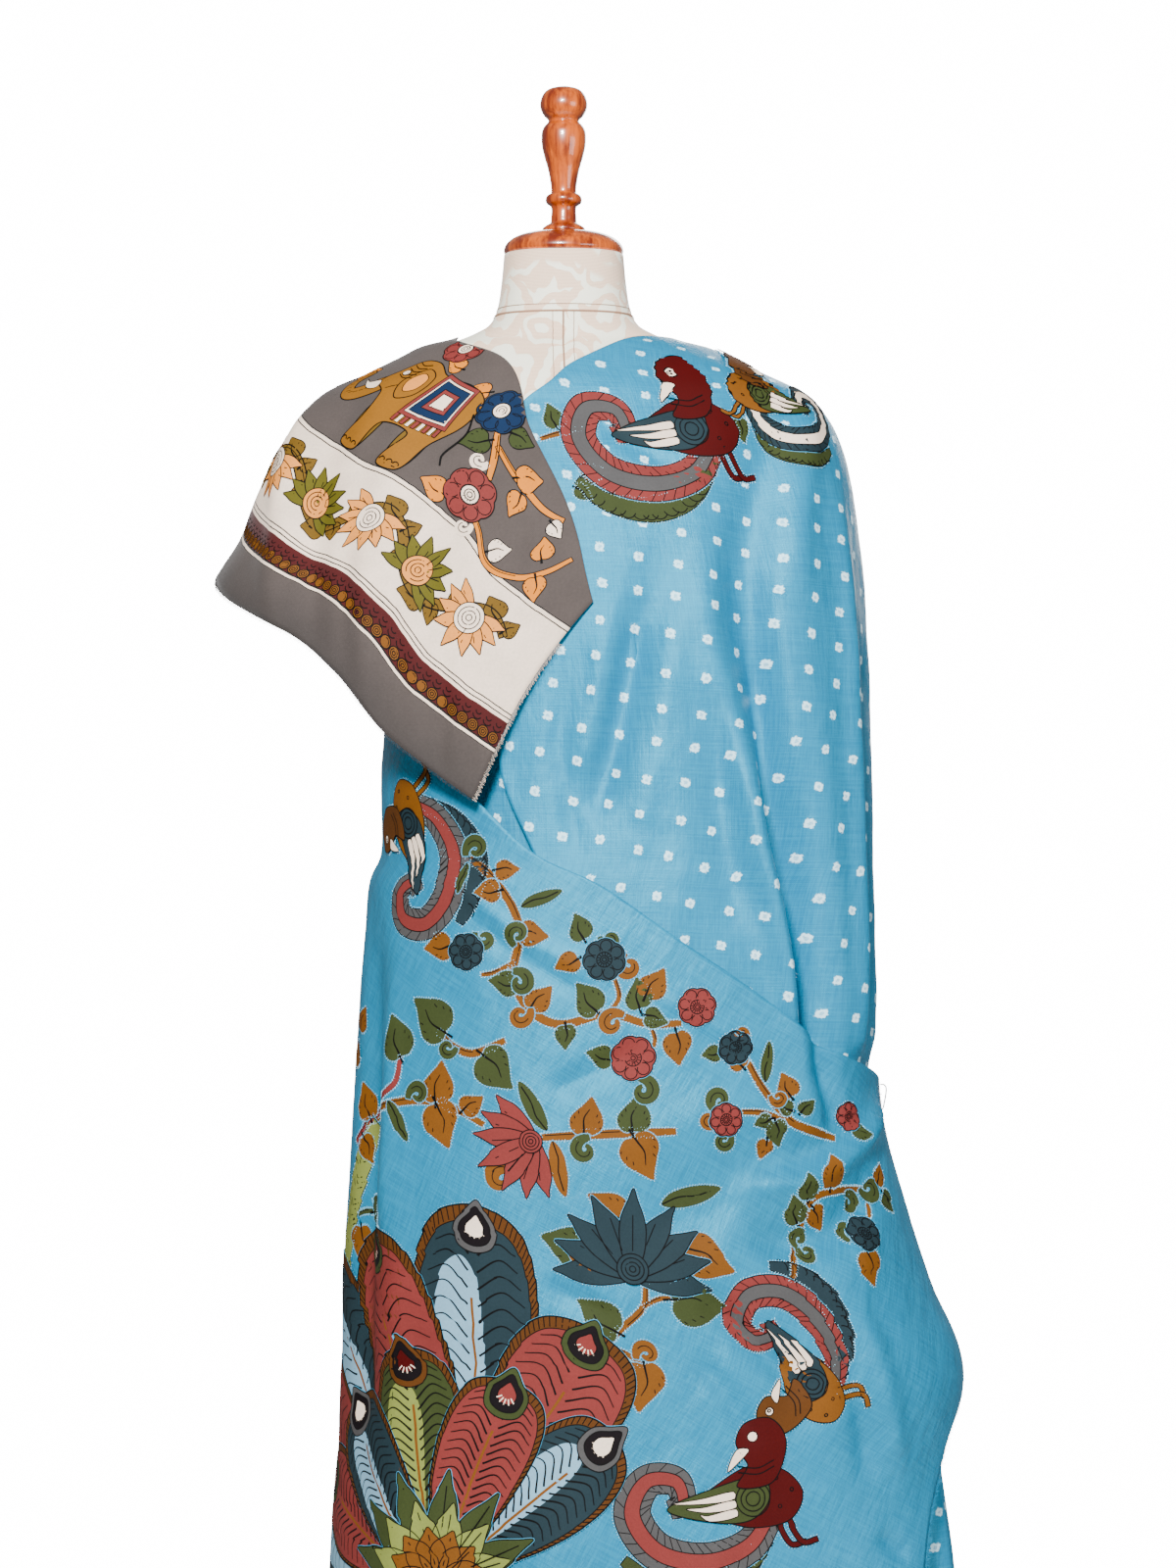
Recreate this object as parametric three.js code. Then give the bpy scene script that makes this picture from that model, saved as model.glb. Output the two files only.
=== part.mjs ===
// A silk saree on a limbless dress form, in millimetres. +X is the viewer's right, +Y the back, +Z up,
// and the origin is the middle of the stand's underside, on the floor.
// One length of silk spirals round the form: under the left arm, over the chest and the right shoulder,
// down the back, round the left side and across the front, where a small pin holds it. A skirt hangs
// under it, and a printed blouse piece lies over the left shoulder.
import * as THREE from "three";

// Driving sizes
const WALL = 1.2; // thickness of every cloth wall
const SEAM = 0.35; // gap between pieces that meet edge to edge
const SQUARE = 0.1; // how much squarer than an ellipse a body section is
const NECK_TOP = 1471; // height of the top of the form's neck
const FORM_BASE = 700; // height of the form's flat underside
const CAP = { radius: 52, height: 20 };
const FINIAL_HEIGHT = 126;
const BASE = { radius: 170, height: 26 };
const POLE = { radius: 15, collar: 30, collarHeight: 22 };
const PIN = { wire: 0.6, length: 20, width: 7.6, coil: 2.2 };

// Sections of the form: how far each reaches to the left, right, front and back of the axis.
const FORM = [
  { z: NECK_TOP, left: 51.8, right: 51.8, front: 50.8, back: 50.8 },
  { z: 1447, left: 54, right: 54, front: 52.5, back: 53 },
  { z: 1425, left: 57.5, right: 57.5, front: 55, back: 56 },
  { z: 1411, left: 64, right: 64, front: 57, back: 58 },
  { z: 1403, left: 76, right: 76, front: 59, back: 61 },
  { z: 1394.7, left: 97, right: 97, front: 61.5, back: 63.5 },
  { z: 1387.5, left: 125, right: 125, front: 67, back: 69.5 },
  { z: 1377, left: 146, right: 147, front: 75, back: 77 },
  { z: 1365, left: 169, right: 171, front: 82.5, back: 84 },
  { z: 1349, left: 185, right: 187, front: 91.5, back: 91 },
  { z: 1333, left: 193, right: 195, front: 97.5, back: 96 },
  { z: 1305, left: 190, right: 192, front: 107, back: 99 },
  { z: 1260, left: 180, right: 180, front: 121, back: 103 },
  { z: 1210, left: 166, right: 166, front: 131, back: 105 },
  { z: 1160, left: 152, right: 152, front: 127, back: 102 },
  { z: 1100, left: 135, right: 135, front: 111, back: 95 },
  { z: 1040, left: 121, right: 121, front: 97, back: 88 },
  { z: 1000, left: 118, right: 118, front: 92, back: 86 },
  { z: 950, left: 128, right: 128, front: 97, back: 92 },
  { z: 880, left: 150, right: 150, front: 107, back: 106 },
  { z: 800, left: 165, right: 166, front: 112, back: 118 },
  { z: 740, left: 166, right: 168, front: 110, back: 118 },
  { z: FORM_BASE, left: 158, right: 160, front: 103, back: 111 },
];

// Sections of the wound silk's outer face.
const SILK = [
  { z: 1405, left: 76, right: 78, front: 59.5, back: 61.5 },
  { z: 1396.7, left: 99, right: 100, front: 63.5, back: 66.3 },
  { z: 1389.5, left: 127, right: 127, front: 69, back: 72.8 },
  { z: 1379, left: 149, right: 151, front: 77, back: 80 },
  { z: 1367, left: 172, right: 176, front: 84.5, back: 86 },
  { z: 1351, left: 188, right: 208, front: 93.5, back: 93 },
  { z: 1334, left: 196, right: 226, front: 100.5, back: 99 },
  { z: 1305, left: 197, right: 241, front: 113, back: 106 },
  { z: 1260, left: 188, right: 251, front: 130, back: 112 },
  { z: 1205, left: 176, right: 257, front: 144, back: 116 },
  { z: 1140, left: 164, right: 261, front: 149, back: 118 },
  { z: 1069, left: 156, right: 264, front: 151, back: 120 },
  { z: 1010, left: 158, right: 266, front: 153, back: 123 },
  { z: 955, left: 158, right: 267, front: 156, back: 127 },
  { z: 925, left: 169, right: 268, front: 159, back: 130 },
  { z: 870, left: 174, right: 269, front: 163, back: 136 },
  { z: 800, left: 179, right: 270, front: 168, back: 142 },
  { z: 750, left: 181, right: 269, front: 171, back: 147 },
  { z: 700, left: 185, right: 277, front: 174, back: 152 },
  { z: 640, left: 188, right: 294, front: 178, back: 159 },
  { z: 575, left: 190, right: 316, front: 182, back: 165 },
  { z: 513, left: 191, right: 341, front: 186, back: 171 },
  { z: 435, left: 195, right: 334, front: 191, back: 178 },
  { z: 333, left: 203, right: 348, front: 198, back: 188 },
  { z: 180, left: 216, right: 368, front: 210, back: 202 },
  { z: 30, left: 228, right: 387, front: 222, back: 216 },
];

// Sections of the skirt that hangs from the waist under the wound silk.
const SKIRT = [
  { z: 1012, left: 120.8, right: 120.8, front: 95.4, back: 89.6 },
  { z: 985, left: 124, right: 126, front: 99, back: 93 },
  { z: 940, left: 138, right: 148, front: 109, back: 104 },
  { z: 880, left: 157, right: 183, front: 121, back: 118 },
  { z: 800, left: 172, right: 218, front: 134, back: 129 },
  { z: 740, left: 174, right: 236, front: 142, back: 135 },
  { z: 650, left: 177, right: 268, front: 153, back: 145 },
  { z: 513, left: 180, right: 316, front: 167, back: 155 },
  { z: 435, left: 183, right: 327, front: 174, back: 162 },
  { z: 333, left: 190, right: 341, front: 183, back: 171 },
  { z: 180, left: 203, right: 357, front: 195, back: 185 },
  { z: 18, left: 215, right: 374, front: 207, back: 199 },
];

// Sections of the blouse piece, which stands out from the left shoulder like a short cape.
const CAPE = [
  { z: 1404, left: 76, right: 78, front: 59.5, back: 61.5 },
  { z: 1395.8, left: 99, right: 100, front: 63.5, back: 65.5 },
  { z: 1388.7, left: 127, right: 127, front: 69, back: 71.5 },
  { z: 1378.3, left: 148, right: 151, front: 77, back: 79 },
  { z: 1366, left: 172, right: 176, front: 84.5, back: 86 },
  { z: 1350, left: 200, right: 208, front: 94, back: 94 },
  { z: 1330, left: 222, right: 228, front: 103, back: 101.5 },
  { z: 1302, left: 245, right: 242, front: 116, back: 110 },
  { z: 1266, left: 263, right: 251, front: 130, back: 116 },
  { z: 1224, left: 279, right: 256, front: 142, back: 121 },
  { z: 1186, left: 303, right: 259, front: 148, back: 125 },
  { z: 1140, left: 322, right: 262, front: 151, back: 129 },
  { z: 1080, left: 334, right: 265, front: 154, back: 134 },
  { z: 990, left: 344, right: 268, front: 157, back: 140 },
];

// Folds: soft ridges (high > 0) and troughs along a line of marks, in the order of the cloth's fall.
// A mark is a place on the front at x and z, or anywhere at an angle from +X and a height z.
const SHOULDER_FOLDS = [
  { high: -13, wide: 13, marks: [{ x: 165, z: 1200 }, { x: 178, z: 1008 }, { x: 201, z: 884 }, { x: 222, z: 740 }] },
  { high: -4, wide: 16, marks: [{ x: 168, z: 1340 }, { x: 165, z: 1200 }, { x: 168, z: 1080 }] },
  { high: 7, wide: 17, marks: [{ x: 150, z: 1150 }, { x: 160, z: 1000 }, { x: 190, z: 860 }, { x: 205, z: 730 }] },
  { high: -5, wide: 24, marks: [{ x: 135, z: 1300 }, { x: 70, z: 1130 }, { x: 20, z: 990 }] },
  { high: 4, wide: 22, marks: [{ x: 110, z: 1280 }, { x: 100, z: 1080 }, { x: 95, z: 920 }] },
  { high: -4, wide: 20, marks: [{ deg: -18, z: 1230 }, { deg: -17, z: 1000 }, { deg: -15, z: 800 }] },
  { high: 5, wide: 18, marks: [{ deg: -4, z: 1260 }, { deg: -5, z: 1000 }, { deg: -6, z: 800 }] },
  { high: -6, wide: 20, marks: [{ deg: 16, z: 1300 }, { deg: 18, z: 1050 }, { deg: 22, z: 820 }] },
  { high: 6, wide: 22, marks: [{ deg: 34, z: 1330 }, { deg: 40, z: 1080 }, { deg: 52, z: 760 }] },
  { high: -7, wide: 22, marks: [{ deg: 42, z: 1340 }, { deg: 58, z: 1080 }, { deg: 82, z: 700 }] },
  { high: 6, wide: 22, marks: [{ deg: 50, z: 1350 }, { deg: 76, z: 1090 }, { deg: 110, z: 700 }] },
  { high: -6, wide: 20, marks: [{ deg: 56, z: 1340 }, { deg: 88, z: 1120 }, { deg: 132, z: 740 }] },
  { high: 6, wide: 20, marks: [{ deg: 62, z: 1335 }, { deg: 100, z: 1130 }, { deg: 148, z: 860 }] },
];
const WRAP_FOLDS = [
  { high: -6, wide: 26, marks: [{ x: 250, z: 715 }, { x: 165, z: 690 }, { x: 85, z: 650 }] },
  { high: 4, wide: 22, marks: [{ x: 252, z: 735 }, { x: 150, z: 745 }, { x: 60, z: 720 }] },
  { high: 5, wide: 30, marks: [{ x: 262, z: 690 }, { x: 235, z: 600 }, { x: 215, z: 470 }] },
  { high: -4, wide: 18, marks: [{ x: 90, z: 610 }, { x: 150, z: 550 }, { x: 195, z: 500 }] },
  { high: -5, wide: 22, marks: [{ deg: 202, z: 940 }, { deg: 206, z: 700 }, { deg: 208, z: 420 }] },
  { high: 5, wide: 24, marks: [{ deg: 214, z: 900 }, { deg: 220, z: 640 }, { deg: 224, z: 300 }] },
  { high: -6, wide: 26, marks: [{ x: -60, z: 520 }, { x: -75, z: 300 }, { x: -90, z: 30 }] },
  { high: 6, wide: 24, marks: [{ x: 0, z: 480 }, { x: -10, z: 260 }, { x: -20, z: 30 }] },
  { high: -7, wide: 24, marks: [{ x: 60, z: 460 }, { x: 55, z: 250 }, { x: 50, z: 30 }] },
  { high: 7, wide: 24, marks: [{ x: 125, z: 430 }, { x: 120, z: 230 }, { x: 115, z: 30 }] },
  { high: -6, wide: 22, marks: [{ x: 190, z: 380 }, { x: 182, z: 220 }, { x: 176, z: 30 }] },
];
const CAPE_FOLDS = [
  { high: 7, wide: 17, marks: [{ x: -170, z: 1372 }, { x: -236, z: 1280 }, { x: -242, z: 1150 }] },
  { high: -7, wide: 18, marks: [{ x: -150, z: 1365 }, { x: -205, z: 1240 }, { x: -205, z: 1110 }] },
  { high: 6, wide: 17, marks: [{ x: -120, z: 1350 }, { x: -160, z: 1200 }, { x: -160, z: 1060 }] },
  { high: -5, wide: 16, marks: [{ x: -90, z: 1320 }, { x: -115, z: 1180 }, { x: -112, z: 1020 }] },
  { high: 6, wide: 20, marks: [{ deg: 168, z: 1340 }, { deg: 166, z: 1240 }, { deg: 164, z: 1140 }] },
  { high: -6, wide: 20, marks: [{ deg: 150, z: 1350 }, { deg: 146, z: 1240 }, { deg: 142, z: 1140 }] },
  { high: 5, wide: 20, marks: [{ deg: 132, z: 1350 }, { deg: 126, z: 1240 }, { deg: 120, z: 1140 }] },
];

// Smooth steps, and a curve through rows of numbers whose knots lie at the given places.
const ease = (t) => {
  const s = Math.min(1, Math.max(0, t));
  return s * s * (3 - 2 * s);
};

function through(knots, rows) {
  const slope = (i, k) => {
    const a = Math.max(0, i - 1);
    const b = Math.min(rows.length - 1, i + 1);
    return (rows[b][k] - rows[a][k]) / (knots[b] - knots[a]);
  };
  return (at) => {
    let i = 0;
    while (i < rows.length - 2 && at > knots[i + 1]) i += 1;
    const step = knots[i + 1] - knots[i];
    const t = Math.min(1, Math.max(0, (at - knots[i]) / step));
    const [t2, t3] = [t * t, t * t * t];
    return rows[i].map(
      (value, k) =>
        value * (2 * t3 - 3 * t2 + 1) +
        rows[i + 1][k] * (3 * t2 - 2 * t3) +
        step * (slope(i, k) * (t3 - 2 * t2 + t) + slope(i + 1, k) * (t3 - t2)),
    );
  };
}

// A body lofted through sections. An angle runs from +X (0) over the back (90) and the left (180);
// a row is a section's place in its table, with fractions between two of them.
class Body {
  constructor(sections) {
    this.last = sections.length - 1;
    this.curve = through(
      sections.map((_, i) => i),
      sections.map((s) => [s.z, s.left, s.right, s.front, s.back]),
    );
  }

  point(deg, row) {
    const [z, left, right, front, back] = this.curve(row);
    const [c, s] = [Math.cos((deg * Math.PI) / 180), Math.sin((deg * Math.PI) / 180)];
    return new THREE.Vector3(
      (right - left) / 2 + ((right + left) / 2) * c * (1 + SQUARE * s * s),
      (s < 0 ? front : back) * s * (1 + SQUARE * c * c),
      z,
    );
  }

  normal(deg, row) {
    const [step, turn] = [0.02, 0.2];
    const low = Math.min(this.last, row + step);
    const high = Math.max(0, row - step);
    const down = this.point(deg, low).sub(this.point(deg, high));
    const round = this.point(deg + turn, row).sub(this.point(deg - turn, row));
    return down.cross(round).normalize();
  }

  rowAt(z) {
    let [top, bottom] = [0, this.last];
    for (let n = 0; n < 40; n += 1) {
      const middle = (top + bottom) / 2;
      if (this.curve(middle)[0] > z) top = middle;
      else bottom = middle;
    }
    return (top + bottom) / 2;
  }

  // The place of a mark, as [angle, row]. A mark with x is on the front, so its angle is 180 to 360.
  place(mark) {
    const row = this.rowAt(mark.z);
    if (mark.deg !== undefined) return [mark.deg, row];
    let [left, right] = [180, 360];
    for (let n = 0; n < 40; n += 1) {
      const middle = (left + right) / 2;
      if (this.point(middle, row).x < mark.x) left = middle;
      else right = middle;
    }
    return [(left + right) / 2 - (mark.turn ?? 0), row];
  }

  // A smooth line on the body through marks, from 0 to 1 along its length.
  line(marks) {
    const places = marks.map((m) => this.place(m));
    const spots = places.map(([deg, row]) => this.point(deg, row));
    const knots = [0];
    spots.slice(1).forEach((p, i) => knots.push(knots[i] + p.distanceTo(spots[i])));
    return through(knots.map((k) => k / knots[knots.length - 1]), places);
  }
}

// The height of a set of folds at a point, from its distance to each fold's line.
function foldsOn(body, folds) {
  const STRETCHES = 10;
  const lines = folds.map((f) => {
    const line = body.line(f.marks);
    const spots = [];
    for (let i = 0; i <= STRETCHES; i += 1) spots.push(body.point(...line(i / STRETCHES)));
    return spots;
  });
  return (p) => {
    let total = 0;
    folds.forEach((f, n) => {
      let [nearest, share] = [Infinity, 0];
      for (let i = 0; i < STRETCHES; i += 1) {
        const [a, b] = [lines[n][i], lines[n][i + 1]];
        const along = b.clone().sub(a);
        const t = Math.min(1, Math.max(0, p.clone().sub(a).dot(along) / along.lengthSq()));
        const away = a.clone().addScaledVector(along, t).distanceTo(p);
        if (away < nearest) [nearest, share] = [away, (i + t) / STRETCHES];
      }
      const endsSoft = ease(share / 0.35) * (f.open ? 1 : ease((1 - share) / 0.1) * 0.4 + 0.6);
      total += f.high * endsSoft * Math.exp(-((nearest / f.wide) ** 2));
    });
    return total;
  };
}

// A stretch of cloth between four edges on a body. Across (0 to 1) runs along the top and bottom edges,
// down (0 to 1) along the side edges. lift moves its outer face out from the body.
function stretch(body, { top, bottom, sides, lift = () => 0, folds = () => 0 }) {
  const [over, under] = [body.line(top), body.line(bottom)];
  const [first, second] = sides
    ? sides.map((marks) => body.line(marks))
    : [0, 1].map((u) => (t) => over(u).map((v, k) => v * (1 - t) + under(u)[k] * t));
  return (u, t) => {
    const corners = [over(0), over(1), under(0), under(1)];
    const [deg, row] = [0, 1].map(
      (k) =>
        (1 - t) * over(u)[k] +
        t * under(u)[k] +
        (1 - u) * first(t)[k] +
        u * second(t)[k] -
        (1 - u) * (1 - t) * corners[0][k] -
        u * (1 - t) * corners[1][k] -
        (1 - u) * t * corners[2][k] -
        u * t * corners[3][k],
    );
    const p = body.point(deg, row);
    const out = body.normal(deg, row);
    return { p: p.clone().addScaledVector(out, lift(u, t, p) + folds(p)), out };
  };
}

// A closed mesh from a list of points and triangles, turned so that its faces point out.
function solid(points, faces) {
  let volume = 0;
  faces.forEach(([a, b, c]) => {
    volume += points[a].dot(points[b].clone().cross(points[c]));
  });
  const geometry = new THREE.BufferGeometry();
  geometry.setAttribute(
    "position",
    new THREE.Float32BufferAttribute(points.flatMap((p) => [p.x, p.y, p.z]), 3),
  );
  geometry.setIndex(faces.flatMap(([a, b, c]) => (volume < 0 ? [a, c, b] : [a, b, c])));
  geometry.computeVertexNormals();
  return geometry;
}

// A wall of cloth whose outer face is place(u, t). A ring closes on itself across; the side edges of
// any other wall go straight in to the body, so that two walls can meet there.
function wall(place, across, down, { ring = false, thickness = WALL } = {}) {
  const columns = ring ? across : across + 1;
  const places = [];
  for (let j = 0; j <= down; j += 1)
    for (let i = 0; i < columns; i += 1) places.push(place(i / across, j / down));
  const outer = places.map(({ p }) => p);
  const at = (i, j) => j * columns + (ring ? (i + columns) % columns : i);
  const clampTo = (i, most) => Math.min(most, Math.max(0, i));
  const inner = outer.map((p, n) => {
    const [i, j] = [n % columns, Math.floor(n / columns)];
    const [west, east] = ring ? [i - 1, i + 1] : [clampTo(i - 1, across), clampTo(i + 1, across)];
    const [north, south] = [clampTo(j - 1, down), clampTo(j + 1, down)];
    const along = outer[at(east, j)].clone().sub(outer[at(west, j)]);
    const fall = outer[at(i, south)].clone().sub(outer[at(i, north)]);
    const atSide = !ring && (i === 0 || i === across);
    const out = atSide ? places[n].out : fall.cross(along).normalize();
    return p.clone().addScaledVector(out, -thickness);
  });
  const count = outer.length;
  const faces = [];
  const quad = (a, b, c, d) => faces.push([a, b, c], [a, c, d]);
  for (let j = 0; j < down; j += 1)
    for (let i = 0; i < (ring ? columns : across); i += 1) {
      const [a, b, c, d] = [at(i, j), at(i, j + 1), at(i + 1, j + 1), at(i + 1, j)];
      quad(a, b, c, d);
      quad(a + count, d + count, c + count, b + count);
    }
  for (let i = 0; i < (ring ? columns : across); i += 1) {
    quad(at(i + 1, 0), at(i + 1, 0) + count, at(i, 0) + count, at(i, 0));
    quad(at(i, down), at(i, down) + count, at(i + 1, down) + count, at(i + 1, down));
  }
  if (!ring)
    for (let j = 0; j < down; j += 1) {
      quad(at(0, j), at(0, j) + count, at(0, j + 1) + count, at(0, j + 1));
      quad(at(across, j + 1), at(across, j + 1) + count, at(across, j) + count, at(across, j));
    }
  return solid([...outer, ...inner], faces);
}

// A filled body with flat ends.
function filled(body, across, rows) {
  const points = [];
  rows.forEach((row) => {
    for (let i = 0; i < across; i += 1) points.push(body.point((360 * i) / across, row));
  });
  const faces = [];
  for (let j = 0; j < rows.length - 1; j += 1)
    for (let i = 0; i < across; i += 1) {
      const next = (i + 1) % across;
      const [a, b, c, d] = [j * across + i, (j + 1) * across + i, (j + 1) * across + next, j * across + next];
      faces.push([a, b, c], [a, c, d]);
    }
  const end = (j, flip) => {
    const middle = points.length;
    points.push(new THREE.Vector3(0, 0, points[j * across].z));
    for (let i = 0; i < across; i += 1) {
      const pair = [j * across + i, j * across + ((i + 1) % across)];
      faces.push(flip ? [middle, ...pair.reverse()] : [middle, ...pair]);
    }
  };
  end(0, false);
  end(rows.length - 1, true);
  return solid(points, faces);
}

// A turned piece: [radius, height] from the bottom up, closed on the axis at both ends.
function turned(profile, sides) {
  const points = [[0, profile[0][1]], ...profile, [0, profile[profile.length - 1][1]]];
  const lathe = new THREE.LatheGeometry(points.map(([r, z]) => new THREE.Vector2(r, z)), sides);
  return lathe.rotateX(Math.PI / 2);
}

// The pieces
const group = new THREE.Group();

function add(name, geometry, color, roughness, metalness = 0) {
  const material = new THREE.MeshStandardMaterial({ color, roughness, metalness });
  const mesh = new THREE.Mesh(geometry, material);
  mesh.name = name;
  group.add(mesh);
  return mesh;
}

const form = new Body(FORM);
const silk = new Body(SILK);
const skirt = new Body(SKIRT);
const cape = new Body(CAPE);
const SILK_BLUE = 0x5db4cc;

function addForm() {
  const rows = Array.from({ length: FORM.length }, (_, i) => i);
  add("form_body", filled(form, 30, rows), 0xe6d8c8, 0.85);
}

function addStand() {
  const capAt = NECK_TOP + SEAM;
  const { radius, height } = CAP;
  add(
    "neck_cap",
    turned(
      [
        [radius - 1.5, capAt],
        [radius, capAt + 3],
        [radius - 1, capAt + 7.5],
        [radius - 3.5, capAt + 11],
        [radius - 8, capAt + 14.4],
        [radius - 15, capAt + 17.4],
        [radius - 25, capAt + 19.4],
        [radius - 33, capAt + height],
      ],
      28,
    ),
    0xc8702a,
    0.25,
  );
  const foot = capAt + height + SEAM;
  const FINIAL = [
    { radius: 18.4, up: 0 },
    { radius: 18.4, up: 3 },
    { radius: 15.5, up: 5.4 },
    { radius: 11.5, up: 8 },
    { radius: 11, up: 12 },
    { radius: 11, up: 21.5 },
    { radius: 15, up: 24.8 },
    { radius: 15.8, up: 28.2 },
    { radius: 14.4, up: 31.6 },
    { radius: 11, up: 34 },
    { radius: 11.9, up: 45.2 },
    { radius: 14, up: 55.4 },
    { radius: 17, up: 65.6 },
    { radius: 19.1, up: 75.8 },
    { radius: 19.1, up: 86 },
    { radius: 17.2, up: 91 },
    { radius: 13.2, up: 96.2 },
    { radius: 16.8, up: 100.4 },
    { radius: 20, up: 106.4 },
    { radius: 20.4, up: 112.4 },
    { radius: 18, up: 119.2 },
    { radius: 13.6, up: 123.4 },
    { radius: 5, up: FINIAL_HEIGHT },
  ];
  add("finial", turned(FINIAL.map((s) => [s.radius, foot + s.up]), 16), 0xc8702a, 0.25);
  const poleFoot = BASE.height + SEAM;
  add(
    "stand_pole",
    turned(
      [
        [POLE.collar, poleFoot],
        [POLE.collar, poleFoot + POLE.collarHeight / 2],
        [POLE.radius, poleFoot + POLE.collarHeight],
        [POLE.radius, FORM_BASE - SEAM],
      ],
      16,
    ),
    0xb5652a,
    0.3,
  );
  add(
    "stand_base",
    turned(
      [
        [BASE.radius - 4, 0],
        [BASE.radius, 5],
        [BASE.radius, 14],
        [BASE.radius - 14, BASE.height],
      ],
      36,
    ),
    0xb5652a,
    0.3,
  );
}

// Flutes of the skirt, in from its sections: deeper to the right and towards the hem.
const FLUTES = 17;
const flute = (deg, p) => {
  const hang = ease((960 - p.z) / 620);
  const side = 0.5 + 0.5 * Math.cos(((deg + 25) * Math.PI) / 180);
  const deep = (3.5 + 7.5 * side) * hang;
  const swing = Math.sin(((deg * FLUTES + 24 * Math.sin((deg * 3 * Math.PI) / 180)) * Math.PI) / 180);
  return -deep * (1 - swing) - 0.5 * hang;
};

function addSkirt() {
  const place = (u, t) => {
    const deg = 360 * u;
    const row = skirt.last * t;
    const p = skirt.point(deg, row);
    const out = skirt.normal(deg, row);
    return { p: p.clone().addScaledVector(out, flute(deg, p)), out };
  };
  add("saree_underskirt", wall(place, 68, 9, { ring: true }), SILK_BLUE, 0.5);
}

// Under the left arm and across the chest, beneath the rest.
function addUnderarm() {
  const place = stretch(silk, {
    top: [
      { deg: 125, z: 1130 },
      { deg: 160, z: 1150 },
      { deg: 198, z: 1215 },
      { x: -60, z: 1225 },
      { x: 45, z: 1215 },
    ],
    bottom: [
      { deg: 125, z: 950 },
      { deg: 160, z: 975 },
      { deg: 198, z: 975 },
      { x: -60, z: 900 },
      { x: 85, z: 830 },
    ],
    lift: (u, t, p) =>
      -6 +
      (0.2 + 4.3 * ease((-40 - p.x) / 30)) * ease((p.z - 1110) / 50) -
      7 * ease((1180 - p.z) / 80) * ease((-20 - p.y) / 60),
  });
  add("saree_underarm_stretch", wall(place, 18, 7), SILK_BLUE, 0.5);
}

// Where the cloth over the right shoulder changes from the chest to the back stretch.
const SHOULDER_SEAM_DEG = 385;
const SEAM_TURN = 0.16; // the angle that parts two edges, a seam's gap or a little more
const silkFolds = foldsOn(silk, [...SHOULDER_FOLDS, ...WRAP_FOLDS]);
// A side edge straight down the silk at an angle, from one height to another.
const upright = (deg, high, low) => [high, (high + low) / 2, low].map((z) => ({ deg, z }));
// The silk's outer face sinks a little where the wrap lies over it.
const tuck = (u, t, p) => -6 * ease((830 - p.z) / 80) * ease((p.x - 120) / 60);

function addShoulder() {
  const chest = stretch(silk, {
    top: [
      { x: -40, z: 1328 },
      { x: -13, z: 1352 },
      { x: 30, z: 1382 },
      { x: 62, z: 1395 },
      { deg: 340, z: 1397 },
      { deg: 362, z: 1398 },
      { deg: SHOULDER_SEAM_DEG, z: 1397 },
    ],
    bottom: [
      { x: 2, z: 905 },
      { x: 80, z: 852 },
      { x: 160, z: 795 },
      { x: 222, z: 745 },
      { deg: 352, z: 712 },
      { deg: SHOULDER_SEAM_DEG, z: 690 },
    ],
    sides: [
      [{ x: -40, z: 1328 }, { x: -47, z: 1180 }, { x: -53, z: 1035 }, { x: -25, z: 957 }, { x: 2, z: 905 }],
      upright(SHOULDER_SEAM_DEG, 1397, 690),
    ],
    lift: tuck,
    folds: silkFolds,
  });
  add("saree_chest_stretch", wall(chest, 25, 22), SILK_BLUE, 0.45);
}

const WRAP_SEAM_DEG = 165;

function addBack() {
  const first = SHOULDER_SEAM_DEG - 360 + SEAM_TURN;
  const last = WRAP_SEAM_DEG - SEAM_TURN;
  const back = stretch(silk, {
    top: [
      { deg: first, z: 1397 },
      { deg: 45, z: 1394 },
      { deg: 64, z: 1372 },
      { deg: 84, z: 1300 },
      { deg: 104, z: 1222 },
      { deg: 130, z: 1150 },
      { deg: last, z: 1092 },
    ],
    bottom: [
      { deg: first, z: 690 },
      { deg: 50, z: 600 },
      { deg: 80, z: 430 },
      { deg: 105, z: 250 },
      { deg: 130, z: 110 },
      { deg: last, z: 45 },
    ],
    sides: [upright(first, 1397, 690), upright(last, 1092, 45)],
    lift: tuck,
    folds: silkFolds,
  });
  add("saree_back_stretch", wall(back, 24, 22), SILK_BLUE, 0.45);
}

// The wrap stands out from the cloth beneath it, and sinks with it towards the pin.
const overlap = (u, t, p) => 7 * ease((u - 0.12) / 0.3) + 0.4 * tuck(u, t, p);

function wrapPlace() {
  return stretch(silk, {
    top: [
      { deg: WRAP_SEAM_DEG, z: 1092 },
      { deg: 184, z: 1068 },
      { x: -116, z: 1040 },
      { x: -72, z: 1001 },
      { x: -26, z: 958 },
      { x: 86, z: 891 },
      { x: 176, z: 826 },
      { x: 220, z: 792 },
      { deg: 352, z: 760 },
    ],
    bottom: [
      { deg: WRAP_SEAM_DEG, z: 45 },
      { deg: 200, z: 34 },
      { x: -60, z: 32 },
      { x: 100, z: 32 },
      { deg: 310, z: 34 },
    ],
    sides: [
      upright(WRAP_SEAM_DEG, 1092, 45),
      [
        { deg: 352, z: 760 },
        { deg: 359, z: 715 },
        { deg: 364, z: 640 },
        { deg: 366, z: 570 },
        { deg: 362, z: 513 },
        { deg: 343.5, z: 469 },
        { deg: 336, z: 435 },
        { deg: 329, z: 401 },
        { deg: 323, z: 350 },
        { deg: 315, z: 200 },
        { deg: 310, z: 34 },
      ],
    ],
    lift: overlap,
    folds: silkFolds,
  });
}

function addWrap() {
  add("saree_front_wrap", wall(wrapPlace(), 31, 22), SILK_BLUE, 0.4);
}

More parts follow.
